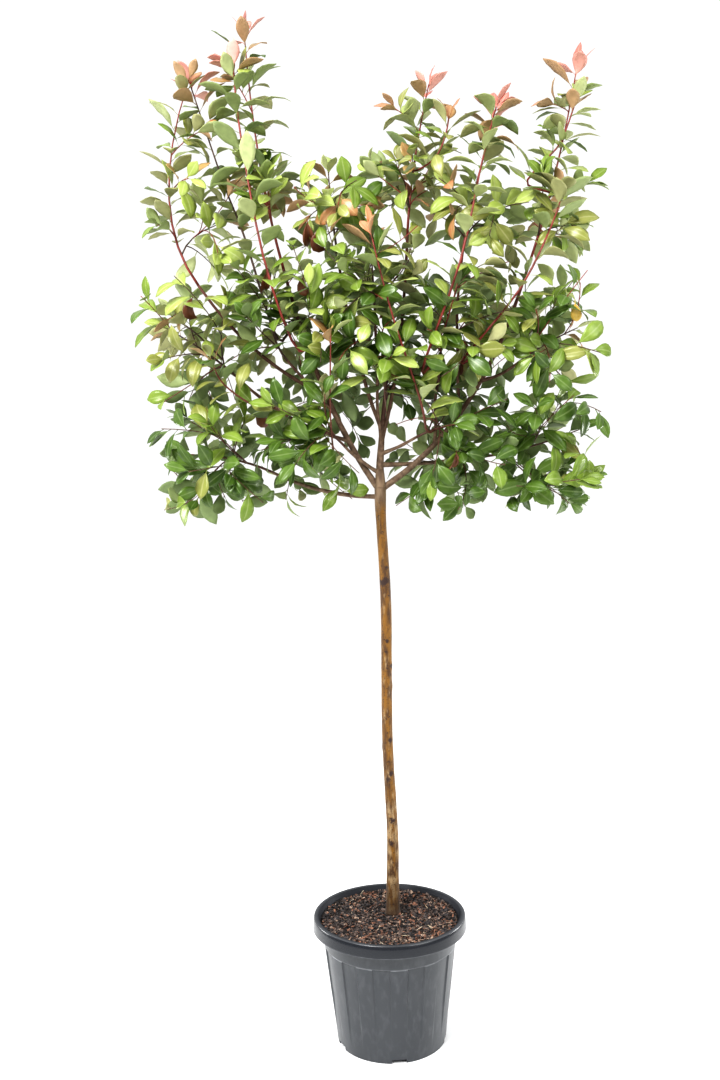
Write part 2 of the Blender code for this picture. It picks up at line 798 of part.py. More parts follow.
def make_mass(name, limbs, fence):
    draw = random.Random(f"{name} {GROWTH_SEED}")
    twigs = grow_twigs(name, draw, limbs, fence)
    leaves = grow_leaves(name, draw, twigs, fence)
    pieces = bpy.data.collections.new(name + "_pieces")
    bpy.context.scene.collection.children.link(pieces)
    mass = solid_object(name, twig_shape(twigs[0], 0.0), plant)
    for index, twig in enumerate(twigs[1:]):
        solid_object(f"{name}_twig_{index}", twig_shape(twig, 0.0), pieces)
    for index, leaf in enumerate(leaves):
        solid_object(f"{name}_leaf_{index}", leaf, pieces)
    combine(mass, "UNION", pieces, "MANIFOLD")
    bpy.data.collections.remove(pieces)
    add_finish(mass, name + "_leaf", FOLIAGE_FINISH)


make_pot()
make_soil()
limbs = make_limbs()
fence = limb_fence(limbs)
for mass_name in MASSES:
    make_mass(mass_name, limbs, fence)
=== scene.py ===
import math
import random
from collections import namedtuple

import bmesh
import bpy
from mathutils import Matrix, Vector, noise
from mathutils.bvhtree import BVHTree


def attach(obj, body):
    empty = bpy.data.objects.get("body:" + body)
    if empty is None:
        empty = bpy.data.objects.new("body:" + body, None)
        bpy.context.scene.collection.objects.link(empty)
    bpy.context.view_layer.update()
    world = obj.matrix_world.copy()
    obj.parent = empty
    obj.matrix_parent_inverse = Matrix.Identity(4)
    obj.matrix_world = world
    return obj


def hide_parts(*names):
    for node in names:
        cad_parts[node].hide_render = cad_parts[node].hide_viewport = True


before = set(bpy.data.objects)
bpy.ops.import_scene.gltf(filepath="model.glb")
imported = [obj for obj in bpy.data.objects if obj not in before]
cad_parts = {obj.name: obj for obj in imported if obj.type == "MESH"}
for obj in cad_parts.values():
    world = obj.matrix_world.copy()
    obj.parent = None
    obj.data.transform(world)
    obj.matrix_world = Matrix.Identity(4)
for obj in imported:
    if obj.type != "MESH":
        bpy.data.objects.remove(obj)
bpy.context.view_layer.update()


# Camera
# It stands some 2.7 metres in front of the plant, level with the foot of the crown,
# and looks slightly down at the whole of it, from the crown's tips to the pot's foot.

CAMERA_PLACE = (-0.0541, -2.6747, 1.4807)
CAMERA_TILT = math.radians(4.34)
CAMERA_ROLL = math.radians(-1.27)
CAMERA_LENS = 35.94
CAMERA_SENSOR = 36.0

camera_data = bpy.data.cameras.new("plant_camera")
camera_data.sensor_fit = "VERTICAL"
camera_data.sensor_height = CAMERA_SENSOR
camera_data.lens = CAMERA_LENS
camera = bpy.data.objects.new("plant_camera", camera_data)
camera.matrix_world = (
    Matrix.Translation(CAMERA_PLACE)
    @ Matrix.Rotation(math.pi / 2 - CAMERA_TILT, 4, "X")
    @ Matrix.Rotation(CAMERA_ROLL, 4, "Z")
)
bpy.context.scene.collection.objects.link(camera)
bpy.context.scene.camera = camera


# Studio floor and light
# A wide pale floor under soft light from all round, a little stronger from above. Two large
# lamps over the front of the plant give the leaves their gloss, and two at the sides the pot's.

FLOOR_HALF_WIDTH = 6.0
FLOOR_COLOUR = (0.88, 0.885, 0.885)
# Brightness of the backdrop itself, and of the light from below and from above
SKY_SEEN = 0.74
SKY_LOW = 0.36
SKY_HIGH = 1.05
# Place, target, width in metres and power in watts
LAMPS = {
    "key_lamp": ((-1.7, -2.3, 3.4), (0.0, 0.0, 1.5), 1.3, 130.0),
    "fill_lamp": ((2.1, -2.0, 2.4), (0.0, 0.0, 1.4), 1.6, 34.0),
    "left_lamp": ((-2.4, 0.9, 0.9), (0.0, 0.0, 0.25), 0.7, 18.0),
    "right_lamp": ((2.4, 0.9, 0.9), (0.0, 0.0, 0.25), 0.7, 22.0),
}


def add_node(tree, kind, inputs=(), **settings):
    # A shader node with its settings; an input takes a value or another node's output.
    node = tree.nodes.new("ShaderNode" + kind)
    for name, value in settings.items():
        setattr(node, name, value)
    for name, value in dict(inputs).items():
        socket = node.inputs[name]
        if isinstance(value, bpy.types.NodeSocket):
            tree.links.new(value, socket)
        elif socket.type == "RGBA":
            socket.default_value = (*value, 1.0)
        else:
            socket.default_value = value
    return node


def map_range(value, low, high, to_low=0.0, to_high=1.0):
    # The range from low to high of a value, spread over another range.
    ranges = {"Value": value, "From Min": low, "From Max": high, "To Min": to_low, "To Max": to_high}
    return add_node(value.id_data, "MapRange", ranges).outputs["Result"]


def height_of(place):
    # The upright part of a place.
    return add_node(place.id_data, "SeparateXYZ", {"Vector": place}).outputs["Z"]


def new_finish(name, **sockets):
    # A material with its plain sockets set by name, its node tree and its Object coordinates.
    material = bpy.data.materials.new(name)
    material.use_nodes = True
    tree = material.node_tree
    shader = tree.nodes["Principled BSDF"]
    for socket, value in sockets.items():
        shader.inputs[socket.replace("_", " ")].default_value = value
    return material, tree, add_node(tree, "TexCoord").outputs["Object"]


def new_piece(name, shape, *materials):
    # A bmesh becomes an object at the origin, shaded smooth.
    mesh = bpy.data.meshes.new(name)
    shape.to_mesh(mesh)
    shape.free()
    mesh.shade_smooth()
    for material in materials:
        mesh.materials.append(material)
    piece = bpy.data.objects.new(name, mesh)
    bpy.context.scene.collection.objects.link(piece)
    return piece


floor_shape = bmesh.new()
bmesh.ops.create_grid(floor_shape, x_segments=1, y_segments=1, size=FLOOR_HALF_WIDTH)
floor_finish, _, _ = new_finish("studio_floor", Roughness=0.6, Base_Color=(*FLOOR_COLOUR, 1.0))
studio_floor = new_piece("studio_floor", floor_shape, floor_finish)

studio = bpy.data.worlds.new("studio")
bpy.context.scene.world = studio
studio.use_nodes = True
sky = studio.node_tree
sky_light = sky.nodes["Background"]
sky_way = add_node(sky, "TexCoord")
sky_height = height_of(sky_way.outputs["Generated"])
sky_shade = map_range(sky_height, -0.3, 1.0, SKY_LOW, SKY_HIGH)
sky_path = add_node(sky, "LightPath")
sky_level = add_node(
    sky, "Mix", {"Factor": sky_path.outputs["Is Camera Ray"], "A": sky_shade, "B": SKY_SEEN}
)
sky.links.new(sky_level.outputs["Result"], sky_light.inputs["Color"])

for lamp_name, (place, target, size, power) in LAMPS.items():
    lamp_data = bpy.data.lights.new(lamp_name, "AREA")
    lamp_data.size = size
    lamp_data.energy = power
    lamp = bpy.data.objects.new(lamp_name, lamp_data)
    aim = (Vector(target) - Vector(place)).to_track_quat("-Z", "Y")
    lamp.matrix_world = Matrix.Translation(place) @ aim.to_matrix().to_4x4()
    bpy.context.scene.collection.objects.link(lamp)

bpy.context.scene.view_settings.view_transform = "Standard"
bpy.context.scene.view_settings.look = "High Contrast"


# Pot
# A nursery container blown thin in dark grey polythene. It has a turned-down lip, a plain
# collar, twelve ribs as proud as the collar that fade downwards, and notches at the foot.

POT_HEIGHT = 0.321
POT_WALL = 0.0024
POT_LIP_DROP = 0.03
POT_LIP_FOOT = POT_HEIGHT - POT_LIP_DROP
# Heights and radii up the outside, over the lip and down the inside
POT_OUTSIDE = (
    (0.0, 0.139), (0.012, 0.1401), (0.03, 0.1418), (0.06, 0.1445), (0.12, 0.15), (0.19, 0.1582),
    (0.244, 0.1645), (0.247, 0.1649), (0.2478, 0.165), (0.249, 0.1673), (0.25, 0.1681),
    (0.252, 0.1684), (0.289, 0.172), (POT_HEIGHT - POT_WALL, 0.1813),
)
POT_LIP = (
    (POT_HEIGHT - POT_WALL, 0.1902), (POT_LIP_FOOT, 0.1937), (POT_LIP_FOOT, 0.196),
    (POT_LIP_FOOT + 0.0018, 0.1959), (POT_HEIGHT - 0.01, 0.1942), (POT_HEIGHT - 0.0015, 0.1928),
    (POT_HEIGHT, 0.1915), (POT_HEIGHT, 0.1812), (POT_HEIGHT - 0.0012, 0.18),
)
POT_INSIDE = ((0.289, 0.1696), (0.254, 0.166), (0.249, 0.1626), (0.12, 0.1476), (POT_WALL, 0.1366))
POT_STEPS = 360
# Points further out than this line, by height, are on the outside of the wall
POT_SKIN_RADIUS = 0.1385
POT_SKIN_SLOPE = 0.08
RIB_COUNT = 12
RIB_TURN = math.radians(6)
RIB_PROUD = 0.003
RIB_TOP = 0.2475
RIB_FADE = 0.03
RIB_FULL = 0.12
NOTCH_COUNT = 5
NOTCH_SIZE = (0.036, 0.016, 0.018)
NOTCH_REACH = 0.135
# The step under the collar, from the ribs' tops to the collar's edge, and how pale the collar's edge
# and the lip's foot are painted
LEDGE_FOOT = 0.2474
LEDGE_TOP = 0.2494
LEDGE_EDGE = 0.2504
LEDGE_EDGE_PALENESS = 0.45
LIP_FOOT_PALENESS = 0.7
PLASTIC_GREY = (0.041, 0.045, 0.051)
PLASTIC_DARK = (0.032, 0.036, 0.042)
PLASTIC_LIP_AND_INSIDE_SHADE = (0.006, 0.008, 0.013)
PLASTIC_HIGHLIGHT_AND_PALE_EDGE = (0.29, 0.3, 0.315)
PLASTIC_SCUFF = (0.06, 0.064, 0.071)


def math_node(tree, operation, *values):
    # The result of a sum on values or outputs, in the order that Blender numbers them.
    return add_node(tree, "Math", dict(enumerate(values)), operation=operation).outputs[0]


def blend(share, first, second):
    # The first colour, and the second where the share is one.
    colours = {"Fac": share, "Color1": first, "Color2": second}
    return add_node(share.id_data, "MixRGB", colours).outputs[0]


def clouds(place, scale, detail=2.0):
    # Soft noise from zero to one.
    pattern = {"Vector": place, "Scale": scale, "Detail": detail}
    return add_node(place.id_data, "TexNoise", pattern).outputs["Fac"]


def mottled(place, size, cover, softness, ground, blotch):
    # Blotches on a ground colour: size counts them to the metre, cover is their share.
    tree = place.id_data
    middle = math_node(tree, "SUBTRACT", 1.0, cover)
    low = math_node(tree, "SUBTRACT", middle, softness)
    high = math_node(tree, "ADD", middle, softness)
    return blend(map_range(clouds(place, size, 5.0), low, high), ground, blotch)


def stretched(place, height):
    # Coordinates that make a pattern longer along the upright axis.
    shaping = {"Vector": place, "Scale": (1.0, 1.0, height)}
    return add_node(place.id_data, "Mapping", shaping).outputs["Vector"]


def grain(place, scale, detail, strength):
    # A bump of fine grain, a millimetre deep at full strength.
    relief = {"Height": clouds(place, scale, detail), "Strength": strength, "Distance": 0.001}
    return add_node(place.id_data, "Bump", relief).outputs["Normal"]


def painted(tree, mask):
    # The value that a mesh carries at its points under a name.
    return add_node(tree, "Attribute", attribute_name=mask).outputs["Fac"]


def feed(tree, **sockets):
    # Links a material's shader to the outputs that vary over the surface.
    for socket, output in sockets.items():
        tree.links.new(output, tree.nodes["Principled BSDF"].inputs[socket.replace("_", " ")])


def ramp(value, start, span):
    # From zero at the start to one a span further on.
    return min(1.0, max(0.0, (value - start) / span))


def rib_strength(x, y):
    # One on a rib and zero on the plain strip beside it, from the angle round the pot.
    angle = math.atan2(x, -y) - RIB_TURN
    return ramp(0.5 + 5.0 * math.cos(angle * RIB_COUNT), 0.0, 1.0)


def spin_profile(profile, steps):
    # Turns a line of (height, radius) points once about the upright axis.
    shape = bmesh.new()
    line = [shape.verts.new((radius, 0.0, height)) for height, radius in profile]
    edges = [shape.edges.new(pair) for pair in zip(line, line[1:])]
    bmesh.ops.spin(
        shape,
        geom=line + edges,
        cent=(0.0, 0.0, 0.0),
        axis=(0.0, 0.0, 1.0),
        angle=math.tau,
        steps=steps,
        use_merge=True,
    )
    bmesh.ops.remove_doubles(shape, verts=shape.verts, dist=0.00001)
    bmesh.ops.recalc_face_normals(shape, faces=shape.faces)
    return shape


pot_profile = [(0.0, 0.0), *POT_OUTSIDE, *POT_LIP, *POT_INSIDE, (POT_WALL, 0.0)]
pot_shape = spin_profile(pot_profile, POT_STEPS)
for vertex in pot_shape.verts:
    x, y, z = vertex.co
    radius = math.hypot(x, y)
    outside = radius > POT_SKIN_RADIUS + z * POT_SKIN_SLOPE
    if outside and RIB_FADE * 0.5 < z < RIB_TOP + 0.0005:
        fade = ramp(z, RIB_FADE, RIB_FULL - RIB_FADE)
        grow = 1.0 + RIB_PROUD * fade * rib_strength(x, y) / radius
        vertex.co.x *= grow
        vertex.co.y *= grow

pot_finish, pot_tree, pot_place = new_finish(
    "grey_polythene", Specular_IOR_Level=0.5, Coat_Roughness=0.26
)
pot = new_piece("nursery_pot", pot_shape, pot_finish)
notch_cutters = []
for index in range(NOTCH_COUNT):
    angle = RIB_TURN + index * math.tau / NOTCH_COUNT
    notch_shape = bmesh.new()
    notch_place = (
        Matrix.Translation((math.sin(angle) * NOTCH_REACH, -math.cos(angle) * NOTCH_REACH, 0.0))
        @ Matrix.Rotation(angle, 4, "Z")
        @ Matrix.Diagonal((*NOTCH_SIZE, 1.0))
    )
    bmesh.ops.create_cube(notch_shape, size=1.0, matrix=notch_place)
    notch = new_piece(f"notch_cutter_{index}", notch_shape)
    cut = pot.modifiers.new("notch", "BOOLEAN")
    cut.object = notch
    notch_cutters.append(notch)
bpy.context.view_layer.update()
graph = bpy.context.evaluated_depsgraph_get()
cut_mesh = bpy.data.meshes.new_from_object(pot.evaluated_get(graph))
pot.modifiers.clear()
pot.data = cut_mesh
for notch in notch_cutters:
    bpy.data.objects.remove(notch, do_unlink=True)

for mask in ("highlight_and_pale_edges", "dark_lip_and_inside_shade", "inner_wall"):
    pot.data.attributes.new(mask, "FLOAT", "POINT")
pale_edge_values = pot.data.attributes["highlight_and_pale_edges"]
lip_and_inside_shade_values = pot.data.attributes["dark_lip_and_inside_shade"]
inner = pot.data.attributes["inner_wall"]
for vertex in pot.data.vertices:
    x, y, z = vertex.co
    radius = math.hypot(x, y)
    strength = rib_strength(x, y)
    # A painted highlight runs up the ribs' flanks, and pale lines are painted on the collar's ledge and
    # along the lip's foot.
    flank = 0.02 < strength < 0.98 and z < RIB_TOP + 0.001
    flank_highlight = ramp(z, 0.08, 0.16) if flank else 0.0
    ledge = 1.0 if LEDGE_FOOT < z < LEDGE_TOP and strength > 0.5 else 0.0
    if LEDGE_TOP < z < LEDGE_EDGE:
        ledge = LEDGE_EDGE_PALENESS
    lip_edge = LIP_FOOT_PALENESS if abs(z - POT_LIP_FOOT) < 0.001 else 0.0
    pale_edge_values.data[vertex.index].value = max(flank_highlight, ledge, lip_edge)
    # The lip's face is smooth and dark, and the inside of the wall dull and darkened with painted
    # shade.
    lip_face = radius > 0.1925 and z > POT_LIP_FOOT - 0.001
    inside_wall = radius < 0.1705 + (z - 0.289) * 0.4 and z > 0.2
    lip_and_inside_shade_values.data[vertex.index].value = 1.0 if lip_face or inside_wall else 0.0
    inner.data[vertex.index].value = 1.0 if inside_wall else 0.0
pot.data.set_sharp_from_angle(angle=math.radians(38))

pot_clouds = mottled(pot_place, 9.0, 0.52, 0.22, PLASTIC_GREY, PLASTIC_DARK)
pot_stretch = stretched(pot_place, 0.45)
pot_scuffs = mottled(pot_stretch, 70.0, 0.36, 0.14, pot_clouds, PLASTIC_SCUFF)
pot_lip_and_inside_shade = painted(pot_tree, "dark_lip_and_inside_shade")
pot_inner = painted(pot_tree, "inner_wall")
# The lip's face is painted dark, and the inside of the wall darkened with painted shade.
pot_lip_and_inside_shaded = blend(pot_lip_and_inside_shade, pot_scuffs, PLASTIC_LIP_AND_INSIDE_SHADE)
pot_patchy = clouds(pot_place, 60.0)
# Painted highlights on the ribs' flanks and pale lines on the ledge and the lip, made patchy
pot_highlight_and_pale_edges = math_node(pot_tree, "MULTIPLY", painted(pot_tree, "highlight_and_pale_edges"), pot_patchy)
# From the inside of the wall, by the plain outside, to the lip's smooth face
pot_smooth = math_node(pot_tree, "MULTIPLY_ADD", pot_inner, -3.0, pot_lip_and_inside_shade)
feed(
    pot_tree,
    Base_Color=blend(pot_highlight_and_pale_edges, pot_lip_and_inside_shaded, PLASTIC_HIGHLIGHT_AND_PALE_EDGE),
    Roughness=map_range(pot_smooth, -2.0, 1.0, 0.66, 0.24),
    Coat_Weight=map_range(pot_inner, 0.0, 1.0, 0.32, 0.03),
    Normal=grain(pot_place, 900.0, 3.0, 0.12),
)
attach(pot, "root")
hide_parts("pot")


# Mulch
# The pot is filled with bark and peat. A dark crumbly bed is covered with loose flakes of
# bark in black, brown, red and tan, and with a few pale straws.

MULCH_HEIGHT = 0.301
MULCH_EDGE_HEIGHT = 0.308
MULCH_FLAT_RADIUS = 0.085
MULCH_RADIUS = 0.1752
MULCH_RINGS = 34
MULCH_STEPS = 150
BED_FOOT = 0.25
BED_SHOULDER = 0.288
PEAT_DARK = (0.01, 0.008, 0.007)
PEAT_LIGHT = (0.04, 0.028, 0.022)
FLAKE_COUNT = 4600
# Share of the flakes, darker and lighter colour
FLAKE_KINDS = {
    "flakes_black": (0.44, (0.01, 0.009, 0.009), (0.064, 0.056, 0.056)),
    "flakes_brown": (0.35, (0.036, 0.027, 0.023), (0.16, 0.118, 0.1)),
    "flakes_red": (0.13, (0.11, 0.052, 0.034), (0.3, 0.155, 0.1)),
    "flakes_tan": (0.07, (0.21, 0.145, 0.108), (0.42, 0.31, 0.24)),
    "flakes_straw": (0.01, (0.42, 0.34, 0.22), (0.6, 0.52, 0.4)),
}
STEM_FOOT = (0.01, 0.045)
STEM_FOOT_RADIUS = 0.0205


def mulch_height(x, y):
    # Hollowed round the stem and banked up to the wall, highest at the back.
    reach = math.hypot(x, y)
    bank = max(0.0, reach - MULCH_FLAT_RADIUS) / (MULCH_RADIUS - MULCH_FLAT_RADIUS)
    rise = (MULCH_EDGE_HEIGHT - MULCH_HEIGHT + 0.004 * max(0.0, y / MULCH_RADIUS)) * bank
    crumbs = noise.noise(Vector((x * 90, y * 90, 0.0))) * 0.0014
    heaps = noise.noise(Vector((x * 22, y * 22, 4.0))) * 0.0026
    return MULCH_HEIGHT + rise + crumbs + heaps - 0.002


bed_profile = [(0.0, MULCH_RADIUS * ring / MULCH_RINGS) for ring in range(MULCH_RINGS + 1)]
bed_profile += [(-0.5, 0.1672), (-1.0, 0.1625), (-1.0, 0.0)]
bed_shape = spin_profile(bed_profile, MULCH_STEPS)
for vertex in bed_shape.verts:
    if vertex.co.z < -0.8:
        vertex.co.z = BED_FOOT
    elif vertex.co.z < -0.3:
        vertex.co.z = BED_SHOULDER
    else:
        vertex.co.z = mulch_height(vertex.co.x, vertex.co.y)
bmesh.ops.recalc_face_normals(bed_shape, faces=bed_shape.faces)
bed_finish, bed_tree, bed_place = new_finish("moist_peat", Roughness=0.95)
feed(bed_tree, Base_Color=mottled(bed_place, 160.0, 0.48, 0.1, PEAT_DARK, PEAT_LIGHT))
mulch_bed = new_piece("mulch_bed", bed_shape, bed_finish)
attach(mulch_bed, "root")
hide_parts("soil")

draw = random.Random("bark flakes")
flake_shapes = {name: bmesh.new() for name in FLAKE_KINDS}
flake_shares = [kind[0] for kind in FLAKE_KINDS.values()]
for _ in range(FLAKE_COUNT):
    turn = draw.uniform(0.0, math.tau)
    reach = math.sqrt(draw.random()) * (MULCH_RADIUS - 0.005)
    x, y = reach * math.cos(turn), reach * math.sin(turn)
    if math.hypot(x - STEM_FOOT[0], y - STEM_FOOT[1]) < STEM_FOOT_RADIUS:
        continue
    # The front and the right of the bed hold more of the red and tan flakes.
    warm = 0.5 + 2.0 * ramp(0.3 + 4.0 * (x * 0.6 - y - 0.04), 0.0, 1.0)
    warm += 1.2 * max(0.0, y - 0.06) / 0.1
    shares = [share * (warm if 1 < place < 4 else 1.0) for place, share in enumerate(flake_shares)]
    kind = draw.choices(list(FLAKE_KINDS), weights=shares)[0]
    length = 0.0035 + 0.0115 * draw.random() ** 2
    width = length * draw.uniform(0.22, 0.7)
    thick = draw.uniform(0.0008, 0.0026)
    if kind == "flakes_straw":
        length, width, thick = draw.uniform(0.01, 0.026), 0.0013, 0.001
    lie = (
        Matrix.Translation((x, y, mulch_height(x, y) + draw.uniform(0.0, 0.003)))
        @ Matrix.Rotation(draw.uniform(0.0, math.tau), 4, "Z")
        @ Matrix.Rotation(draw.gauss(0.0, 0.45), 4, "X")
        @ Matrix.Rotation(draw.gauss(0.0, 0.4), 4, "Y")
    )
    flake = bmesh.ops.create_cube(flake_shapes[kind], size=1.0)
    narrow = draw.uniform(0.35, 0.9)
    for vertex in flake["verts"]:
        taper = narrow if vertex.co.x > 0 else 1.0
        across = vertex.co.y * width * taper
        vertex.co = lie @ Vector((vertex.co.x * length, across, vertex.co.z * thick * taper))
for kind, (_, dark, light) in FLAKE_KINDS.items():
    flake_finish, flake_tree, flake_place = new_finish(kind, Roughness=0.85)
    feed(flake_tree, Base_Color=mottled(flake_place, 110.0, 0.5, 0.12, dark, light))
    flakes = new_piece(kind, flake_shapes[kind], flake_finish)
    flakes.data.shade_flat()
    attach(flakes, "root")


# Stem
# One clear stem, flared where it leaves the mulch, rises with a slight bend to the fork. Its
# bark is ochre and smooth with old pruning scars, and greyer and rougher round the fork.

# Height, place across and from front to back, and diameter
STEM_STATIONS = (
    (0.3013, 0.01, 0.045, 0.043), (0.308, 0.01, 0.045, 0.04),
    (0.325, 0.0105, 0.045, 0.0352), (0.39, 0.0115, 0.045, 0.0322),
    (0.53, 0.0128, 0.044, 0.0296), (0.78, 0.005, 0.042, 0.0272),
    (1.1, 0.008, 0.04, 0.0268), (1.3, 0.001, 0.039, 0.0256),
    (1.365, -0.001, 0.038, 0.0284), (1.405, -0.0005, 0.038, 0.03),
)
STEM_RING_STEP = 0.005
STEM_SIDES = 30
# Height over the fork and radius, where the stem narrows into the limb that carries on from it
STEM_TOP = ((0.01, 0.0142), (0.02, 0.013), (0.032, 0.0115), (0.046, 0.0098))
STEM_FOOT_FLAT = 0.303
STEM_MIDDLE = (0.006, 0.041)
STEM_MEAN_RADIUS = 0.0135
SCAR_REACH = 2.2
# Height, angle round the stem from its front, size and swell of each scar
STEM_SCARS = (
    (1.294, -20, 0.007, 0.001), (1.204, 25, 0.008, 0.001), (1.171, 12, 0.015, 0.0003),
    (1.166, -25, 0.014, 0.0003), (1.018, 10, 0.008, 0.0008), (0.991, -5, 0.006, 0.0008),
    (0.952, 60, 0.009, 0.0012), (0.761, 30, 0.01, 0.0012), (0.706, 0, 0.006, 0.0008),
    (0.676, 28, 0.011, 0.0012), (0.66, -8, 0.01, 0.0014), (0.552, 34, 0.012, 0.0016),
    (0.5, -20, 0.009, 0.0012), (0.492, 12, 0.01, 0.0015), (0.43, -30, 0.008, 0.0008),
    (0.9, 140, 0.013, 0.0016), (0.74, 215, 0.011, 0.0014), (0.42, 170, 0.01, 0.0012),
    (1.19, 190, 0.009, 0.0012),
)
BARK_OCHRE = (0.195, 0.092, 0.009)
BARK_OCHRE_DARK = (0.078, 0.035, 0.008)
BARK_SKIN = (0.285, 0.2, 0.105)
BARK_FOOT_DARK = (0.042, 0.022, 0.01)
BARK_SCAR = (0.032, 0.014, 0.01)
BARK_GREY = (0.11, 0.07, 0.042)
BARK_GREY_LIGHT = (0.23, 0.16, 0.1)


def limb_point(limb, share):
    # Place, radius and heading at a share of a limb's length.
    points, radii = limb
    position = max(0.0, min(1.0, share)) * (len(points) - 1)
    index = min(int(position), len(points) - 2)
    local = position - index
    place = points[index].lerp(points[index + 1], local)
    radius = radii[index] + (radii[index + 1] - radii[index]) * local
    heading = (points[index + 1] - points[index]).normalized()
    return place, radius, heading


def smooth_limb(stations, count):
    # A smooth line of rings through stations of (place, radius).
    points = []
    radii = []
    last = len(stations) - 1
    for ring in range(count + 1):
        position = ring / count * last
        index = min(int(position), last - 1)
        t = position - index
        weights = (
            -0.5 * t + t * t - 0.5 * t ** 3,
            1.0 - 2.5 * t * t + 1.5 * t ** 3,
            0.5 * t + 2.0 * t * t - 1.5 * t ** 3,
            -0.5 * t * t + 0.5 * t ** 3,
        )
        point = Vector()
        radius = 0.0
        for step, weight in zip((-1, 0, 1, 2), weights):
            place, size = stations[max(0, min(last, index + step))]
            point += place * weight
            radius += size * weight
        points.append(point)
        radii.append(radius)
    return points, radii


def grow_tube(shape, limb, sides):
    # A ring at the foot is extruded from point to point, turned and scaled as it goes.
    points, radii = limb
    heading = (points[1] - points[0]).normalized()
    foot = Matrix.Translation(points[0]) @ heading.to_track_quat("Z", "Y").to_matrix().to_4x4()
    ring = bmesh.ops.create_circle(shape, cap_ends=True, segments=sides, radius=radii[0], matrix=foot)
    verts = ring["verts"]
    edges = list(dict.fromkeys(edge for vertex in verts for edge in vertex.link_edges))
    for index in range(1, len(points)):
        after = points[min(index + 1, len(points) - 1)]
        turned = (after - points[index - 1]).normalized()
        move = (
            Matrix.Translation(points[index])
            @ heading.rotation_difference(turned).to_matrix().to_4x4()
            @ Matrix.Scale(radii[index] / radii[index - 1], 4)
            @ Matrix.Translation(-points[index - 1])
        )
        longer = bmesh.ops.extrude_edge_only(shape, edges=edges)["geom"]
        verts = [item for item in longer if isinstance(item, bmesh.types.BMVert)]
        edges = [item for item in longer if isinstance(item, bmesh.types.BMEdge)]
        bmesh.ops.transform(shape, matrix=move, verts=verts)
        heading = turned
    bmesh.ops.contextual_create(shape, geom=edges)


def bark_relief(place, rough):
    # Shallow furrows along the limb, with a finer grain over them.
    furrows = noise.noise(Vector((place.x * 130, place.y * 130, place.z * 16)))
    grain = noise.noise(place * 340)
    swell = noise.noise(Vector((place.x * 40, place.y * 40, place.z * 14)) + Vector((7, 3, 1)))
    return (furrows * 0.00045 + grain * 0.0002 + swell * 0.0006) * rough


def stem_limb():
    rings = round((STEM_STATIONS[-1][0] - STEM_STATIONS[0][0]) / STEM_RING_STEP)
    # The rings are spaced by height, so the unevenly spaced stations are read by it.
    fine = smooth_limb(stem_stations, rings * 6)
    points = []
    radii = []
    for ring in range(rings + 1):
        height = STEM_STATIONS[0][0] + (STEM_STATIONS[-1][0] - STEM_STATIONS[0][0]) * ring / rings
        nearest = min(range(len(fine[0])), key=lambda place: abs(fine[0][place].z - height))
        points.append(fine[0][nearest])
        radii.append(fine[1][nearest])
    for lift, narrow in STEM_TOP:
        points.append(points[rings] + Vector((0.0, 0.0, lift)))
        radii.append(narrow)
    return points, radii


stem_stations = [(Vector((x, y, z)), diameter / 2) for z, x, y, diameter in STEM_STATIONS]
stem_shape = bmesh.new()
grow_tube(stem_shape, stem_limb(), STEM_SIDES)
bmesh.ops.recalc_face_normals(stem_shape, faces=stem_shape.faces)
stem_shape.normal_update()
scar_depth = stem_shape.verts.layers.float.new("scar")
scar_places = []
for height, turn, size, swell in STEM_SCARS:
    side = Vector((math.sin(math.radians(turn)), -math.cos(math.radians(turn)), 0.0))
    middle = Vector((*STEM_MIDDLE, height)) + side * STEM_MEAN_RADIUS
    scar_places.append((middle, size, swell))
for vertex in stem_shape.verts:
    place = vertex.co.copy()
    # Rougher round the fork and at the foot, and plain where the foot is cut flat.
    rough = 1.0 + 1.4 * ramp(place.z, 1.33, 0.06)
    rough += 1.2 * ramp(0.4 - place.z, 0.0, 0.09)
    lift = bark_relief(place, rough) if place.z > STEM_FOOT_FLAT else 0.0
    scarred = 0.0
    for middle, size, swell in scar_places:
        apart = (place - middle).length / size
        if apart < SCAR_REACH:
            lift += swell * math.exp(-(apart - 0.75) ** 2 * 5)
            scarred = max(scarred, math.exp(-apart * apart * 1.8))
    vertex.co = place + vertex.normal * lift
    vertex[scar_depth] = scarred

bark_finish, bark_tree, bark_place = new_finish("ochre_bark", Roughness=0.68, Sheen_Weight=0.1)
bark_stretch = stretched(bark_place, 0.28)
bark_height = height_of(bark_place)
# Ochre bark with dark stains, under a pale dry film that thins out upwards
bark_stained = map_range(bark_height, 0.4, 1.0, 0.53, 0.47)
bark_filmed = map_range(bark_height, 0.4, 1.0, 0.46, 0.3)
bark_stains = mottled(bark_stretch, 80.0, bark_stained, 0.1, BARK_OCHRE, BARK_OCHRE_DARK)
bark_skinned = mottled(bark_stretch, 120.0, bark_filmed, 0.1, bark_stains, BARK_SKIN)
bark_specks = mottled(bark_place, 230.0, 0.37, 0.03, bark_skinned, BARK_SCAR)
# Grey bark round the fork and a darker foot, both with a wandering edge
bark_old = mottled(bark_stretch, 90.0, 0.5, 0.12, BARK_GREY, BARK_GREY_LIGHT)
bark_wander = clouds(bark_place, 40.0)
bark_edge = math_node(bark_tree, "MULTIPLY_ADD", bark_wander, 0.1, bark_height)
bark_mixed = blend(map_range(bark_edge, 1.385, 1.445), bark_specks, bark_old)
bark_foot_darkening = map_range(bark_edge, 0.362, 0.46, 0.9, 0.0)
bark_dark_footed = blend(bark_foot_darkening, bark_mixed, BARK_FOOT_DARK)
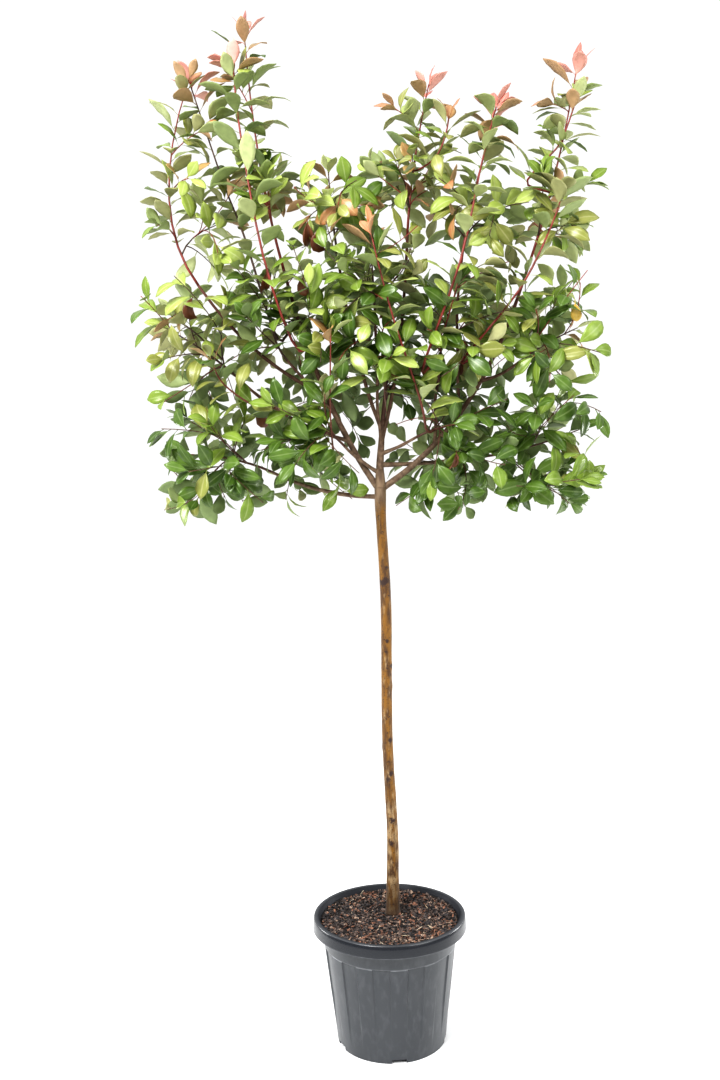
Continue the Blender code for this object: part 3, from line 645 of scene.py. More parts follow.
# Scars with a ragged edge
bark_ragged = clouds(bark_place, 260.0, 4.0)
bark_torn = math_node(bark_tree, "MULTIPLY_ADD", bark_ragged, 1.3, painted(bark_tree, "scar"))
bark_scarred = map_range(bark_torn, 0.98, 1.35)
feed(
    bark_tree,
    Base_Color=blend(bark_scarred, bark_dark_footed, BARK_SCAR),
    Normal=grain(bark_stretch, 420.0, 4.0, 0.35),
)
stem = new_piece("stem_bark", stem_shape, bark_finish)
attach(stem, "root")
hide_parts("trunk")


# Boughs
# Sixteen limbs fan out flat from the fork. Each is a single taper with a swollen collar where
# it springs, in grey brown bark that turns redder as it gets younger.

# Parent and share of its length, tip, bow, and diameter at the base and the tip
BOUGHS = {
    "bough_centre": ("trunk", 1.0, (0.01, 0.04, 1.575), 0.02, 0.0215, 0.012),
    "bough_left_main": ("trunk", 0.97, (-0.228, 0.03, 1.95), 0.07, 0.0165, 0.007),
    "bough_right_main": ("trunk", 0.98, (0.372, 0.036, 1.93), 0.13, 0.016, 0.007),
    "bough_left_low": ("trunk", 0.93, (-0.275, 0.048, 1.452), 0.1, 0.012, 0.0068),
    "bough_right_low": ("bough_centre", 0.34, (0.27, 0.088, 1.478), 0.03, 0.0118, 0.0068),
    "bough_left_inner": ("bough_centre", 0.22, (-0.088, 0.0, 1.512), 0.06, 0.01, 0.0066),
    "bough_right_inner": ("bough_centre", 0.5, (0.092, 0.006, 1.53), 0.04, 0.0096, 0.0066),
    "bough_left_far": ("bough_left_main", 0.5, (-0.44, 0.038, 1.915), 0.1, 0.0098, 0.0066),
    "bough_left_outer": ("bough_left_main", 0.28, (-0.352, 0.01, 1.69), 0.1, 0.0094, 0.0064),
    "bough_left_middle": ("bough_left_main", 0.4, (-0.222, -0.012, 1.722), 0.0, 0.0082, 0.0062),
    "bough_upright": ("bough_centre", 0.84, (-0.096, 0.056, 2.0), 0.05, 0.0098, 0.0064),
    "bough_leader": ("bough_centre", 0.66, (0.08, 0.046, 2.03), 0.05, 0.0104, 0.0066),
    "bough_front": ("bough_centre", 0.6, (-0.006, -0.03, 1.83), 0.06, 0.008, 0.0062),
    "bough_right_middle": ("bough_right_main", 0.3, (0.15, 0.0, 1.7), -0.06, 0.0084, 0.0062),
    "bough_right_upper": ("bough_right_main", 0.46, (0.212, 0.04, 1.955), -0.06, 0.0084, 0.0064),
    "bough_right_outer": ("bough_right_main", 0.6, (0.35, 0.018, 1.71), 0.1, 0.0082, 0.0062),
}
BOUGH_WAVE = 0.0035
BOUGH_RINGS = 6
BOUGH_SIDES = 12
BOUGH_RING_STEP = 0.008
BOUGH_TAPER = 0.85
BOUGH_ROUGHNESS = 0.8
COLLAR_SWELL = 0.5
COLLAR_LENGTH = 0.01
STEM_RINGS_PER_STATION = 2
BOUGH_GREY = (0.105, 0.066, 0.042)
BOUGH_GREY_LIGHT = (0.205, 0.14, 0.09)
BOUGH_RED = (0.11, 0.04, 0.028)


def curve_point(start, bend, end, t):
    # A point of the curve that leaves its start towards the bend and comes to its end from it.
    return start * (1 - t) ** 2 + bend * 2 * t * (1 - t) + end * t * t


def line_length(points):
    return sum((after - before).length for before, after in zip(points, points[1:]))


def bough_guide(name, limbs):
    parent, share, tip, bow, base_diameter, tip_diameter = BOUGHS[name]
    start, _, _ = limb_point(limbs[parent], share)
    end = Vector(tip)
    chord = end - start
    span = chord.length
    outwards = Vector((chord.x, chord.y, 0.0)).normalized()
    bend = start + chord * 0.45 + (outwards - Vector((0, 0, 1))) * bow * span
    if share == 1.0:
        bend = start + Vector((0, 0, span * 0.5))
    phase = random.Random(name).uniform(0, math.tau)
    side = chord.cross(Vector((0, 0, 1))).normalized()
    points = []
    radii = []
    for ring in range(BOUGH_RINGS + 1):
        t = ring / BOUGH_RINGS
        sway = math.sin(t * math.pi) * math.sin(t * 9 + phase) * BOUGH_WAVE
        points.append(curve_point(start, bend, end, t) + side * sway)
        taper = (1 - t) ** BOUGH_TAPER
        radii.append((tip_diameter + (base_diameter - tip_diameter) * taper) / 2)
    return points, radii


young_finish, young_tree, young_place = new_finish("bough_bark", Roughness=0.7)
young_blotch = mottled(young_place, 90.0, 0.48, 0.12, BOUGH_GREY, BOUGH_GREY_LIGHT)
young_share = map_range(height_of(young_place), 1.48, 1.9)
feed(
    young_tree,
    Base_Color=blend(young_share, young_blotch, BOUGH_RED),
    Normal=grain(young_place, 500.0, 3.0, 0.3),
)

# The boughs read the stem with two rings to each station.
stem_rings = (len(stem_stations) - 1) * STEM_RINGS_PER_STATION
limbs = {"trunk": smooth_limb(stem_stations, stem_rings)}
for name in BOUGHS:
    limbs[name] = bough_guide(name, limbs)
    points, radii = limbs[name]
    rings = round(line_length(points) / BOUGH_RING_STEP)
    fine = smooth_limb(list(zip(points, radii)), rings)
    collared = []
    for index, radius in enumerate(fine[1]):
        collar = math.exp(-index * BOUGH_RING_STEP / COLLAR_LENGTH)
        collared.append(radius * (1.0 + COLLAR_SWELL * collar))
    bough_shape = bmesh.new()
    grow_tube(bough_shape, (fine[0], collared), BOUGH_SIDES)
    bmesh.ops.recalc_face_normals(bough_shape, faces=bough_shape.faces)
    bough_shape.normal_update()
    for vertex in bough_shape.verts:
        vertex.co += vertex.normal * bark_relief(vertex.co, BOUGH_ROUGHNESS)
    bough = new_piece(name.replace("bough", "limb"), bough_shape, young_finish)
    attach(bough, "root")
    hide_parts(name)


# Twigs
# From each bough's tip a stem runs on into its own share of the crown and branches there.
# Long straight shoots of the last season stand out of the top and the front in crimson bark.

# Each mass of foliage: its bough, the middle and the half sizes of its rounded box, and the
# tip of its leading stem; its twigs of the first and the second order, the height that their
# tips keep below, and the tint of the newest leaves; and the tips of side stems that stand
# out of it. The tall masses of the top are slim, since their stems are long shoots.
Mass = namedtuple("Mass", "bough middle half tip first_twigs fine_twigs highest newest side_tips")
SPACES = {
    "foliage_left_low": Mass(
        "bough_left_low", (-0.415, 0.03, 1.475), (0.16, 0.2, 0.165), (-0.5, 0.02, 1.5),
        9, 8, 2.0, None, ((-0.45, -0.03, 1.39), (-0.39, 0.03, 1.39)),
    ),
    "foliage_left_inner": Mass(
        "bough_left_inner", (-0.17, 0.02, 1.53), (0.17, 0.2, 0.2), (-0.225, -0.02, 1.62),
        10, 10, 2.0, None, ((-0.213, -0.04, 1.41),),
    ),
    "foliage_centre_low": Mass(
        "bough_centre", (0.015, 0.03, 1.7), (0.15, 0.2, 0.17), (0.035, 0.02, 1.78),
        11, 12, 2.0, None, (),
    ),
    "foliage_right_inner": Mass(
        "bough_right_inner", (0.175, 0.02, 1.51), (0.17, 0.2, 0.19), (0.245, 0.0, 1.56),
        11, 12, 2.0, None, ((0.211, -0.03, 1.41),),
    ),
    "foliage_right_low": Mass(
        "bough_right_low", (0.41, 0.03, 1.49), (0.15, 0.2, 0.165), (0.5, 0.03, 1.54),
        11, 12, 2.0, None, ((0.385, -0.03, 1.41),),
    ),
    "foliage_left_outer": Mass(
        "bough_left_outer", (-0.44, 0.02, 1.77), (0.16, 0.2, 0.18), (-0.52, 0.01, 1.81),
        7, 7, 2.0, "fresh", (),
    ),
    "foliage_left_middle": Mass(
        "bough_left_middle", (-0.225, 0.02, 1.82), (0.16, 0.2, 0.19), (-0.245, -0.02, 1.93),
        9, 9, 2.0, None, (),
    ),
    "foliage_centre_high": Mass(
        "bough_front", (-0.015, 0.01, 1.945), (0.14, 0.195, 0.16), (-0.015, -0.05, 2.02),
        10, 10, 2.03, None, (),
    ),
    "foliage_right_middle": Mass(
        "bough_right_middle", (0.195, 0.02, 1.8), (0.16, 0.2, 0.18), (0.205, -0.02, 1.91),
        11, 12, 2.0, None, (),
    ),
    "foliage_right_outer": Mass(
        "bough_right_outer", (0.415, 0.03, 1.78), (0.15, 0.2, 0.18), (0.495, 0.02, 1.79),
        10, 10, 1.93, "fresh", (),
    ),
    "foliage_left_far": Mass(
        "bough_left_far", (-0.43, 0.03, 2.15), (0.15, 0.17, 0.315), (-0.445, 0.02, 2.405),
        6, 4, 2.16, "bronze", ((-0.412, 0.0, 2.28),),
    ),
    "foliage_left_leader": Mass(
        "bough_left_main", (-0.26, 0.02, 2.25), (0.14, 0.165, 0.325), (-0.306, 0.01, 2.505),
        6, 4, 2.2, "coral", ((-0.335, 0.0, 2.4),),
    ),
    "foliage_upright": Mass(
        "bough_upright", (-0.1, 0.04, 2.12), (0.13, 0.18, 0.165), (-0.112, 0.04, 2.185),
        7, 5, 2.14, "fresh", (),
    ),
    "foliage_right_leader": Mass(
        "bough_leader", (0.095, 0.04, 2.235), (0.15, 0.17, 0.225), (0.138, 0.03, 2.385),
        7, 5, 2.24, "coral", ((0.055, 0.03, 2.33),),
    ),
    "foliage_right_shoot": Mass(
        "bough_right_upper", (0.25, 0.02, 2.13), (0.14, 0.18, 0.25), (0.3, 0.0, 2.3),
        6, 4, 2.14, "coral", (),
    ),
    "foliage_right_far": Mass(
        "bough_right_main", (0.435, 0.03, 2.19), (0.14, 0.175, 0.31), (0.5, 0.03, 2.42),
        5, 3, 2.14, "coral", ((0.438, 0.02, 2.33),),
    ),
}
# Roundness of the boxes, and how far a leaf may lean over the border with the next mass
SPACE_POWER = 3.2
SPACE_SPILL = 0.034
# The crown from front to back, and how far out of its boxes a long shoot may carry leaves
CROWN_FRONT = -0.205
CROWN_MIDDLE = 0.02
CROWN_BACK = 0.232
CROWN_SPILL = 1.3
GROWTH_SEED = 9
# A direction that no limb runs along, from which arms are set off round a limb
ASIDE = Vector((0.31, 0.94, 0.14))
# Long shoots of the last season: colour of their bark, tint of their tip leaves, and points
# from foot to tip
LONG_SHOOTS = {
    "left_red": ("crimson", "coral", (-0.198, -0.06, 1.749), (-0.266, -0.11, 1.958),
        (-0.316, -0.07, 2.26), (-0.331, -0.025, 2.42)),
    "left_back": ("brown", "coral", (-0.256, 0.06, 1.795), (-0.323, 0.06, 2.03),
        (-0.371, 0.05, 2.163), (-0.443, 0.04, 2.395)),
    "front_red": ("crimson", "peach", (0.114, -0.036, 1.545), (0.096, -0.085, 1.62),
        (0.028, -0.125, 1.83), (-0.013, -0.13, 2.0)),
    "right_red": ("crimson", "coral", (0.107, -0.06, 1.698), (0.193, -0.125, 1.931),
        (0.25, -0.1, 2.164), (0.29, -0.06, 2.3)),
    "right_slant": ("crimson", "bronze", (0.204, -0.05, 1.713), (0.333, -0.115, 1.867),
        (0.418, -0.1, 2.031), (0.436, -0.09, 2.095)),
    "right_twin": ("crimson", "bronze", (0.101, 0.01, 2.175), (0.145, -0.02, 2.195),
        (0.17, -0.03, 2.24), (0.181, -0.03, 2.29)),
    "right_edge": ("crimson", "fresh", (0.373, 0.02, 2.143), (0.42, -0.01, 2.194),
        (0.452, -0.02, 2.232), (0.49, -0.01, 2.33)),
    "centre_low_red": ("crimson", "fresh", (-0.112, -0.06, 1.477), (-0.118, -0.095, 1.592),
        (-0.112, -0.11, 1.779)),
    "left_thin_red": ("crimson", "fresh", (-0.254, 0.0, 1.605), (-0.308, -0.05, 1.616),
        (-0.374, -0.075, 1.667), (-0.402, -0.08, 1.727)),
    "left_far_twig": ("brown", "fresh", (-0.38, 0.01, 1.73), (-0.44, -0.03, 1.79),
        (-0.5, -0.02, 1.835)),
}
STEM_TWIG_RINGS = 9
TWIG_RINGS = 6
SHOOT_RINGS = 14
SHOOT_RADII = (0.004, 0.0017)
TWIG_SHORTEST = 0.045
TWIG_LONGEST = 0.23
TWIG_RADIUS = 0.0022
TWIG_TIP_RADIUS = 0.001
TWIG_SIDES = 6
TWIG_BOW = 0.004
STEM_TIP_RADIUS = 0.0013
BROWN_SHARE = 0.6
# Masses whose leading stem ends above these heights: crimson, and grown as a long shoot
CRIMSON_ABOVE = 2.2
TALL_ABOVE = 2.15
AIM_REACH = 0.84
AIM_DRAWS = 24
SEARCH_STEPS = 40
TWIG_BARKS = {
    "crimson": ((0.25, 0.04, 0.03), (0.13, 0.03, 0.022)),
    "brown": ((0.085, 0.045, 0.03), (0.045, 0.026, 0.019)),
}
# Low down on the plant a shoot has ripened to this brown
RIPE_BARK = (0.1, 0.044, 0.028)


def space_size(point, name):
    # How far out a point lies in the rounded box of a mass: one at its skin.
    offset = point - Vector(SPACES[name].middle)
    half = SPACES[name].half
    return sum(abs(offset[axis] / half[axis]) ** SPACE_POWER for axis in range(3))


def in_space(point, name, spill):
    # True inside the mass's rounded box and nearer its middle than any other's.
    if space_size(point, name) > 1.0:
        return False
    middle = Vector(SPACES[name].middle)
    offset = point - middle
    for other, mass in SPACES.items():
        if other != name:
            apart = Vector(mass.middle) - middle
            if offset.dot(apart) / apart.length > apart.length / 2 + spill:
                return False
    return True


def in_crown(point):
    # True inside the crown's depth and over the box of any mass, seen from the front.
    if not CROWN_FRONT < point.y < CROWN_BACK:
        return False
    flat = Vector((point.x, CROWN_MIDDLE, point.z))
    return any(space_size(flat, name) < CROWN_SPILL for name in SPACES)


def bent_line(start, heading, end, rings):
    # A line that leaves along a heading and bends over to its end.
    bend = start + heading.normalized() * (end - start).length * 0.45
    return [curve_point(start, bend, end, ring / (rings - 1)) for ring in range(rings)]


def even_radii(first, last, rings):
    # One radius for each ring, in even steps from the first to the last.
    return [first + (last - first) * ring / (rings - 1) for ring in range(rings)]


def spread_aims(name, draw, count, taken):
    # Points spread evenly through the space: of several draws, the one furthest from the rest.
    mass = SPACES[name]
    middle = Vector(mass.middle)
    aims = []
    while len(aims) < count:
        best = None
        best_gap = -1.0
        for _ in range(AIM_DRAWS):
            offset = [draw.uniform(-AIM_REACH, AIM_REACH) * size for size in mass.half]
            point = middle + Vector(offset)
            if point.z > mass.highest or not in_space(point, name, 0.0):
                continue
            gap = min((point - other).length for other in taken + aims)
            if gap > best_gap:
                best = point
                best_gap = gap
        if best is not None:
            aims.append(best)
    return aims


def twig_to(aim, wood, draw):
    # The twig that reaches an aim from the wood behind it by the shortest and straightest way.
    best = None
    for parent in wood:
        for step in range(2, 10):
            place, thickness, along = limb_point(parent["limb"], step / 10)
            reach = aim - place
            if not TWIG_SHORTEST < reach.length < TWIG_LONGEST:
                continue
            forward = reach.normalized().dot(along)
            if forward < 0.1:
                continue
            cost = reach.length * (1.8 - forward)
            if best is None or cost < best[0]:
                best = (cost, place, thickness, along, parent)
    if best is None:
        return None
    _, place, thickness, along, parent = best
    reach = (aim - place).normalized()
    points = bent_line(place, along * 0.55 + reach, aim, TWIG_RINGS)
    bow = Vector((draw.gauss(0, 1), draw.gauss(0, 1), draw.gauss(0, 1))) * TWIG_BOW
    for ring, point in enumerate(points):
        point += bow * math.sin(ring / (TWIG_RINGS - 1) * math.pi)
    base = min(TWIG_RADIUS, thickness * 0.8)
    radii = even_radii(base, TWIG_TIP_RADIUS, TWIG_RINGS)
    bark = "brown" if draw.random() < BROWN_SHARE else "crimson"
    return {"limb": (points, radii), "bark": bark, "space": parent["space"], "tip": None, "long": False}


def grow_mass(name, draw):
    mass = SPACES[name]
    end, radius, heading = limb_point(limbs[mass.bough], 1.0)
    tip = Vector(mass.tip)
    points = bent_line(end - heading * 0.002, heading, tip, STEM_TWIG_RINGS)
    radii = even_radii(radius, STEM_TIP_RADIUS, STEM_TWIG_RINGS)
    bark = "crimson" if tip.z > CRIMSON_ABOVE else "brown"
    tall = tip.z > TALL_ABOVE
    wood = [{"limb": (points, radii), "bark": bark, "space": name, "tip": mass.newest, "long": tall}]
    aims = [Vector(side) for side in mass.side_tips]
    sides = len(aims)
    aims += spread_aims(name, draw, mass.first_twigs, [end, tip] + aims)
    aims += spread_aims(name, draw, mass.fine_twigs, [end, tip] + aims)
    for index, aim in enumerate(aims):
        twig = twig_to(aim, wood, draw)
        if twig is not None:
            if index < sides and aim.z > mass.highest:
                twig.update(tip="bronze", bark="crimson", long=True)
            wood.append(twig)
    return wood


def nearest_wood(place, wood):
    # The point of any limb or twig that lies nearest a place.
    best = None
    for points, radii in list(limbs.values()) + [twig["limb"] for twig in wood]:
        for step in range(SEARCH_STEPS + 1):
            point = limb_point((points, radii), step / SEARCH_STEPS)[0]
            if best is None or (point - place).length < (best - place).length:
                best = point
    return best


wood = []
for name in SPACES:
    wood += grow_mass(name, random.Random(f"{name} {GROWTH_SEED}"))
grown = list(wood)
for bark, tip_tint, *places in LONG_SHOOTS.values():
    line = [nearest_wood(Vector(places[0]), grown)] + [Vector(place) for place in places]
    if (line[1] - line[0]).length < 0.02:
        line.pop(1)
    stout = min(SHOOT_RADII[0], 0.0018 + (line[-1] - line[0]).length * 0.0045)
    stations = []
    for index, place in enumerate(line):
        thin = index / (len(line) - 1)
        stations.append((place, stout + (SHOOT_RADII[1] - stout) * thin))
    shoot = smooth_limb(stations, SHOOT_RINGS)
    wood.append({"limb": shoot, "bark": bark, "space": None, "tip": tip_tint, "long": True})

twig_shapes = {bark: bmesh.new() for bark in TWIG_BARKS}
for twig in wood:
    grow_tube(twig_shapes[twig["bark"]], twig["limb"], TWIG_SIDES)
for bark, (light, dark) in TWIG_BARKS.items():
    twig_finish, twig_tree, twig_place = new_finish(bark + "_bark", Roughness=0.48)
    twig_colour = mottled(twig_place, 70.0, 0.45, 0.15, light, dark)
    twig_young = map_range(height_of(twig_place), 1.5, 1.76)
    feed(twig_tree, Base_Color=blend(twig_young, RIPE_BARK, twig_colour))
    shape = twig_shapes[bark]
    bmesh.ops.recalc_face_normals(shape, faces=shape.faces)
    twigs = new_piece(bark + "_twigs", shape, twig_finish)
    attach(twigs, "root")
    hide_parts(*SPACES)


# Leaves
# Leathery oval leaves stand in a spiral on short stalks, folded along the midrib and arched.
# Old leaves are deep green, younger ones yellow green, and the newest tips coral and bronze.

LEAF_LENGTH = 0.093
LEAF_WIDTH = 0.039
LEAF_STALK = 0.13
LEAF_THICKNESS = 0.0005
LEAF_ACROSS = 4
LEAF_ALONG = 7
LEAF_TURN = math.radians(137.5)
STALK_HALF_WIDTH = 0.0009
NEIGHBOUR_REACH = 0.095
# Tries at a place for each leaf, and the turn from one to the next
LEAF_TRIES = 5
LEAF_TRY_TURN = 0.6
# Leaves from the tip down over which a young leaf comes to its full size
YOUNG_LEAVES = 6
YOUNG_SHRINK = 0.36
# Below this height only a few leaves hang
CROWN_FOOT = 1.385
BELOW_FOOT_SKIPPED = 0.6
# The clear heart of the crown in front of the fork
HEART_FOOT = 1.38
HEART_HEIGHT = 0.25
HEART_MIDDLE = 0.02
HEART_HALF_WIDTH = 0.13
# Ages up to which a spray has each tint, from the old and low to the young and high
TINT_AGES = ((0.34, "deep"), (0.7, "mid"), (0.84, "olive"))
UNDERSIDE_DARKER = 0.8
# Darker and lighter colour of the top, and colour of the midrib and the underside; the paler underside
# colour is lightened further with painted light, standing in for light shining through the leaf
TINTS = {
    "deep": ((0.046, 0.088, 0.013), (0.102, 0.168, 0.03), (0.2, 0.26, 0.11)),
    "mid": ((0.125, 0.19, 0.028), (0.205, 0.28, 0.056), (0.29, 0.35, 0.15)),
    "fresh": ((0.25, 0.315, 0.07), (0.345, 0.405, 0.125), (0.43, 0.475, 0.235)),
    "olive": ((0.185, 0.205, 0.048), (0.268, 0.28, 0.086), (0.395, 0.395, 0.2)),
    "bronze": ((0.38, 0.17, 0.08), (0.36, 0.27, 0.11), (0.47, 0.31, 0.18)),
    "coral": ((0.56, 0.15, 0.12), (0.56, 0.26, 0.2), (0.68, 0.36, 0.31)),
    "peach": ((0.64, 0.26, 0.15), (0.6, 0.34, 0.18), (0.68, 0.4, 0.26)),
    "yellow": ((0.64, 0.42, 0.08), (0.56, 0.4, 0.1), (0.6, 0.46, 0.16)),
    "dead": ((0.11, 0.036, 0.018), (0.2, 0.085, 0.042), (0.26, 0.13, 0.075)),
}
# Dead leaves left hanging in the crown, and one that has turned yellow
DEAD_PLACES = (
    (-0.45, -0.04, 1.854), (-0.266, -0.06, 1.902), (-0.177, -0.06, 1.893), (-0.162, -0.04, 2.024),
    (-0.138, -0.04, 2.01), (0.178, -0.08, 1.466), (0.079, 0.0, 2.127), (0.21, 0.12, 1.7),
    (-0.3, 0.13, 1.6), (0.02, 0.14, 1.86),
)
YELLOW_PLACE = (0.475, -0.06, 1.817)


def leaf_point(leaf, side, share):
    # A point of the leaf: side from minus one to one across it, share from its root to its tip.
    length = leaf["length"]
    blade = max(0.0, share - LEAF_STALK) / (1.0 - LEAF_STALK)
    bend = leaf["bend"] * blade
    reach = length * LEAF_STALK if share > LEAF_STALK else length * share
    blade_length = length * (1.0 - LEAF_STALK)
    if bend > 0.001:
        radius = blade_length * blade / bend
        forward = reach + radius * math.sin(bend)
        drop = radius * (1.0 - math.cos(bend))
    else:
        forward = reach + blade_length * blade
        drop = 0.0
    axis = leaf["axis"]
    over = leaf["over"]
    upwards = over * math.cos(bend) + axis * math.sin(bend)
    twist = leaf["twist"] * blade
    across = leaf["across"] * math.cos(twist) + upwards * math.sin(twist)
    half = STALK_HALF_WIDTH
    if blade > 0.0:
        half = max(half, leaf["width"] / 2 * math.sin(math.pi * blade ** 1.12) ** 0.85)
    fold = leaf["fold"] * abs(side) - 0.1 * side * side
    wave = 0.05 * math.sin(blade * 17 + leaf["phase"]) * abs(side) ** 2
    place = leaf["root"] + axis * forward - over * drop
    return place + across * side * half + upwards * half * (fold + wave)


def make_leaf(root, axis, over, length, width, bend, draw):
    axis = axis.normalized()
    over = (over - axis * over.dot(axis)).normalized()
    return {
        "root": root,
        "axis": axis,
        "over": over,
        "across": axis.cross(over),
        "length": length,
        "width": width,
        "bend": bend,
        "twist": draw.gauss(0.0, 0.16),
        "fold": draw.uniform(0.1, 0.34),
        "phase": draw.uniform(0.0, math.tau),
    }


def leaf_kite(leaf):
    # A few faces that stand for the leaf when it is tested against its neighbours.
    places = ((0, LEAF_STALK + 0.06), (-1, 0.55), (0, 0.55), (1, 0.55), (0, 1))
    corners = [leaf_point(leaf, side, share) for side, share in places]
    return corners, [(0, 1, 2), (0, 2, 3), (1, 4, 2), (2, 4, 3)]


def wood_tree():
    # The surfaces of all limbs and twigs, which no leaf may cross.
    corners = []
    faces = []
    lines = list(limbs.values()) + [twig["limb"] for twig in wood]
    for points, radii in lines:
        first = len(corners)
        for index, (point, radius) in enumerate(zip(points, radii)):
            after = points[min(index + 1, len(points) - 1)]
            before = points[max(index - 1, 0)]
            heading = (after - before).normalized()
            arm = heading.cross(ASIDE).normalized() * (radius + 0.001)
            rest = heading.cross(arm)
            corners += [point + arm, point - arm * 0.5 + rest * 0.87, point - arm * 0.5 - rest * 0.87]
        for ring in range(len(points) - 1):
            low = first + ring * 3
            for corner in range(3):
                near = low + (corner + 1) % 3
                faces.append((low + corner, near, near + 3, low + corner + 3))
    return BVHTree.FromPolygons(corners, faces)


limb_tree = wood_tree()
leaves = []


def hides_fork(point):
    # The heart of the crown, in front of the fork, has hardly a leaf.
    rise = point.z - HEART_FOOT
    half = min(HEART_HALF_WIDTH, 0.02 + rise * 0.9)
    return 0.0 < rise < HEART_HEIGHT and point.y < 0.03 and abs(point.x - HEART_MIDDLE) < half


def leaf_fits(leaf, space):
    tip = leaf_point(leaf, 0, 1)
    for point in (tip, leaf_point(leaf, -1, 0.6), leaf_point(leaf, 1, 0.6)):
        if hides_fork(point):
            return False
        if space is None:
            if not in_crown(point):
                return False
        elif not in_space(point, space, SPACE_SPILL):
            return False
    kite = leaf_kite(leaf)
    tree = BVHTree.FromPolygons(*kite)
    if tree.overlap(limb_tree):
        return False
    middle = kite[0][2]
    near = [other for other in leaves if (other["middle"] - middle).length < NEIGHBOUR_REACH]
    if near:
        corners = []
        faces = []
        for other in near:
            first = len(corners)
            corners += other["kite"][0]
            faces += [tuple(index + first for index in face) for face in other["kite"][1]]
        if tree.overlap(BVHTree.FromPolygons(corners, faces)):
            return False
    leaf["kite"] = kite
    leaf["middle"] = middle
    return True


def spray_tint(tip, draw):
    # Leaves low and deep in the crown are the oldest and darkest.
    age = (tip.z - 1.45) / 0.9 + max(0.0, abs(tip.x) - 0.36) * 1.6 + draw.gauss(0.0, 0.26)
    for oldest, tint in TINT_AGES:
        if age < oldest:
            return tint
    return "fresh" if draw.random() < 0.72 else "mid"


def leaf_out(twig, draw):
    # Leaves stand in a spiral from the tip down, each a little wider spread and longer.
    points, radii = twig["limb"]
    length = line_length(points)
    tip = points[-1]
    bare = length * (0.25 if twig["long"] else 0.2)
    tint = spray_tint(tip, draw)
    if twig["long"]:
        tint = draw.choice(("mid", "olive", "olive", "fresh"))
    newest = twig["tip"]
    if newest is None and tip.z > 2.0 and draw.random() < 0.3:
        newest = draw.choice(("bronze", "fresh", "olive"))
    coloured = 5 if newest == "coral" else 3
    turn = draw.uniform(0.0, math.tau)
    distance = 0.0
    count = 0
    while distance < length - bare:
        share = 1.0 - distance / length
        place, radius, heading = limb_point(twig["limb"], share)
        young = max(0.0, 1.0 - count / YOUNG_LEAVES)
        scale = (1.0 - YOUNG_SHRINK * young) * (draw.uniform(0.84, 1.12) if twig["long"] else 1.0)
        size = LEAF_LENGTH * draw.uniform(0.8, 1.1) * scale
        width = LEAF_WIDTH * draw.uniform(0.86, 1.12) * scale
        for attempt in range(LEAF_TRIES):
            angle = turn + count * LEAF_TURN + attempt * LEAF_TRY_TURN
            spread = math.radians(16 + 42 * (1.0 - young) + draw.uniform(-16, 18))
            arm = heading.cross(ASIDE).normalized()
            arm = arm * math.cos(angle) + heading.cross(arm) * math.sin(angle)
            axis = heading * math.cos(spread) + arm * math.sin(spread)
            # The lower a leaf grows, the more its face leans out of the crown.
            outwards = 0.42 - 0.32 * ramp(place.z, 1.6, 0.5)
            face_to = -outwards if place.y < 0.03 else outwards
            over = heading + Vector((draw.gauss(0, 0.32), face_to + draw.gauss(0, 0.28), 0.6))
            bend = draw.uniform(0.2, 1.5) * (1.0 - 0.4 * young)
            leaf = make_leaf(place + arm * radius * 0.6, axis, over, size, width, bend, draw)
            if leaf_point(leaf, 0, 1).z < CROWN_FOOT and draw.random() < BELOW_FOOT_SKIPPED:
                continue
            if leaf_fits(leaf, None if twig["long"] else twig["space"]):
                leaf["tint"] = tint
                if newest is not None and count < coloured:
                    leaf["tint"] = newest
                elif newest is not None and count < coloured + 2:
                    leaf["tint"] = "olive" if newest == "bronze" else "bronze"
                elif draw.random() < (0.45 if twig["long"] else 0.14):
                    leaf["tint"] = draw.choice(("deep", "mid", "mid", "fresh", "olive"))
                leaves.append(leaf)
                break
        count += 1
        step = 0.005 + (0.0072 if twig["long"] else 0.018) * (1.0 - young)
        distance += step * draw.uniform(0.6, 1.5)


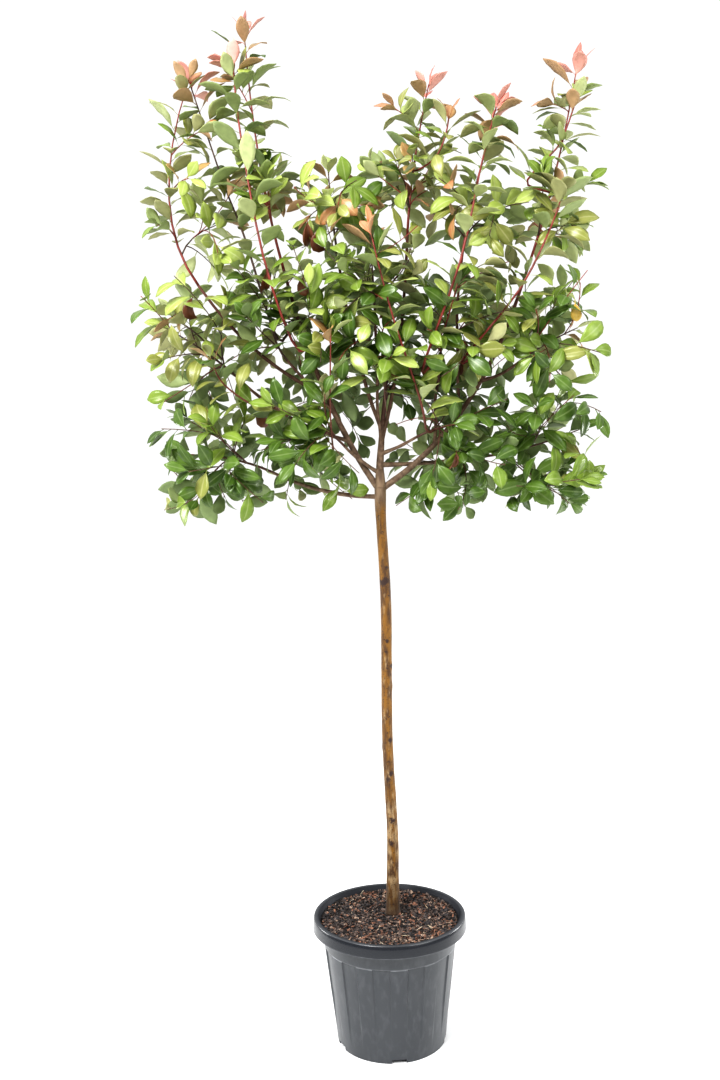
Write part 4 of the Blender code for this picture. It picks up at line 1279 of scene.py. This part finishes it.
draw = random.Random("leaves")
for twig in sorted(wood, key=lambda twig: not twig["long"]):
    leaf_out(twig, draw)
for place in DEAD_PLACES + (YELLOW_PLACE,):
    axis = Vector((draw.uniform(-0.4, 0.4), draw.uniform(-0.5, 0.1), -1.0))
    over = Vector((draw.uniform(-1, 1), -1.0, 0.2))
    dead = place != YELLOW_PLACE
    size = draw.uniform(0.05, 0.072)
    leaf = make_leaf(Vector(place) - axis.normalized() * 0.03, axis, over, size, size * 0.45, 1.3, draw)
    leaf["fold"] = 1.3 if dead else 0.2
    leaf["twist"] = 0.9 if dead else 0.1
    leaf["tint"] = "dead" if dead else "yellow"
    leaves.append(leaf)

leaf_shapes = {tint: bmesh.new() for tint in TINTS}
for shape in leaf_shapes.values():
    shape.verts.layers.float.new("shade")
    shape.verts.layers.float.new("side")
for leaf in leaves:
    shape = leaf_shapes[leaf["tint"]]
    shade = shape.verts.layers.float["shade"]
    side_layer = shape.verts.layers.float["side"]
    tone = draw.random()
    blade = bmesh.ops.create_grid(shape, x_segments=LEAF_ACROSS, y_segments=LEAF_ALONG, size=0.5)
    for vertex in blade["verts"]:
        side = vertex.co.x * 2
        vertex.co = leaf_point(leaf, side, vertex.co.y + 0.5)
        vertex[shade] = tone
        vertex[side_layer] = abs(side)

for tint, (dark, light, underside_and_glow) in TINTS.items():
    top_finish, top_tree, top_place = new_finish(
        tint + "_leaf_top", Roughness=0.32, Specular_IOR_Level=0.4
    )
    top_cover = map_range(painted(top_tree, "shade"), 0.0, 1.0, 0.3, 0.7)
    top_colour = mottled(top_place, 45.0, top_cover, 0.25, dark, light)
    top_rib = map_range(painted(top_tree, "side"), 0.03, 0.14, 0.6, 0.0)
    feed(top_tree, Base_Color=blend(top_rib, top_colour, underside_and_glow))
    under_finish, under_tree, under_place = new_finish(tint + "_leaf_underside_and_painted_glow", Roughness=0.55)
    # The underside's colour carries painted light: it is lightened to stand in for light shining
    # through the leaf.
    darker = [part * UNDERSIDE_DARKER for part in underside_and_glow]
    feed(under_tree, Base_Color=mottled(under_place, 60.0, 0.5, 0.2, underside_and_glow, darker))
    piece = new_piece(tint + "_leaves", leaf_shapes[tint], top_finish, under_finish)
    thick = piece.modifiers.new("thickness", "SOLIDIFY")
    thick.thickness = LEAF_THICKNESS
    thick.offset = -1.0
    thick.material_offset = 1
    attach(piece, "root")
    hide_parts(*SPACES)
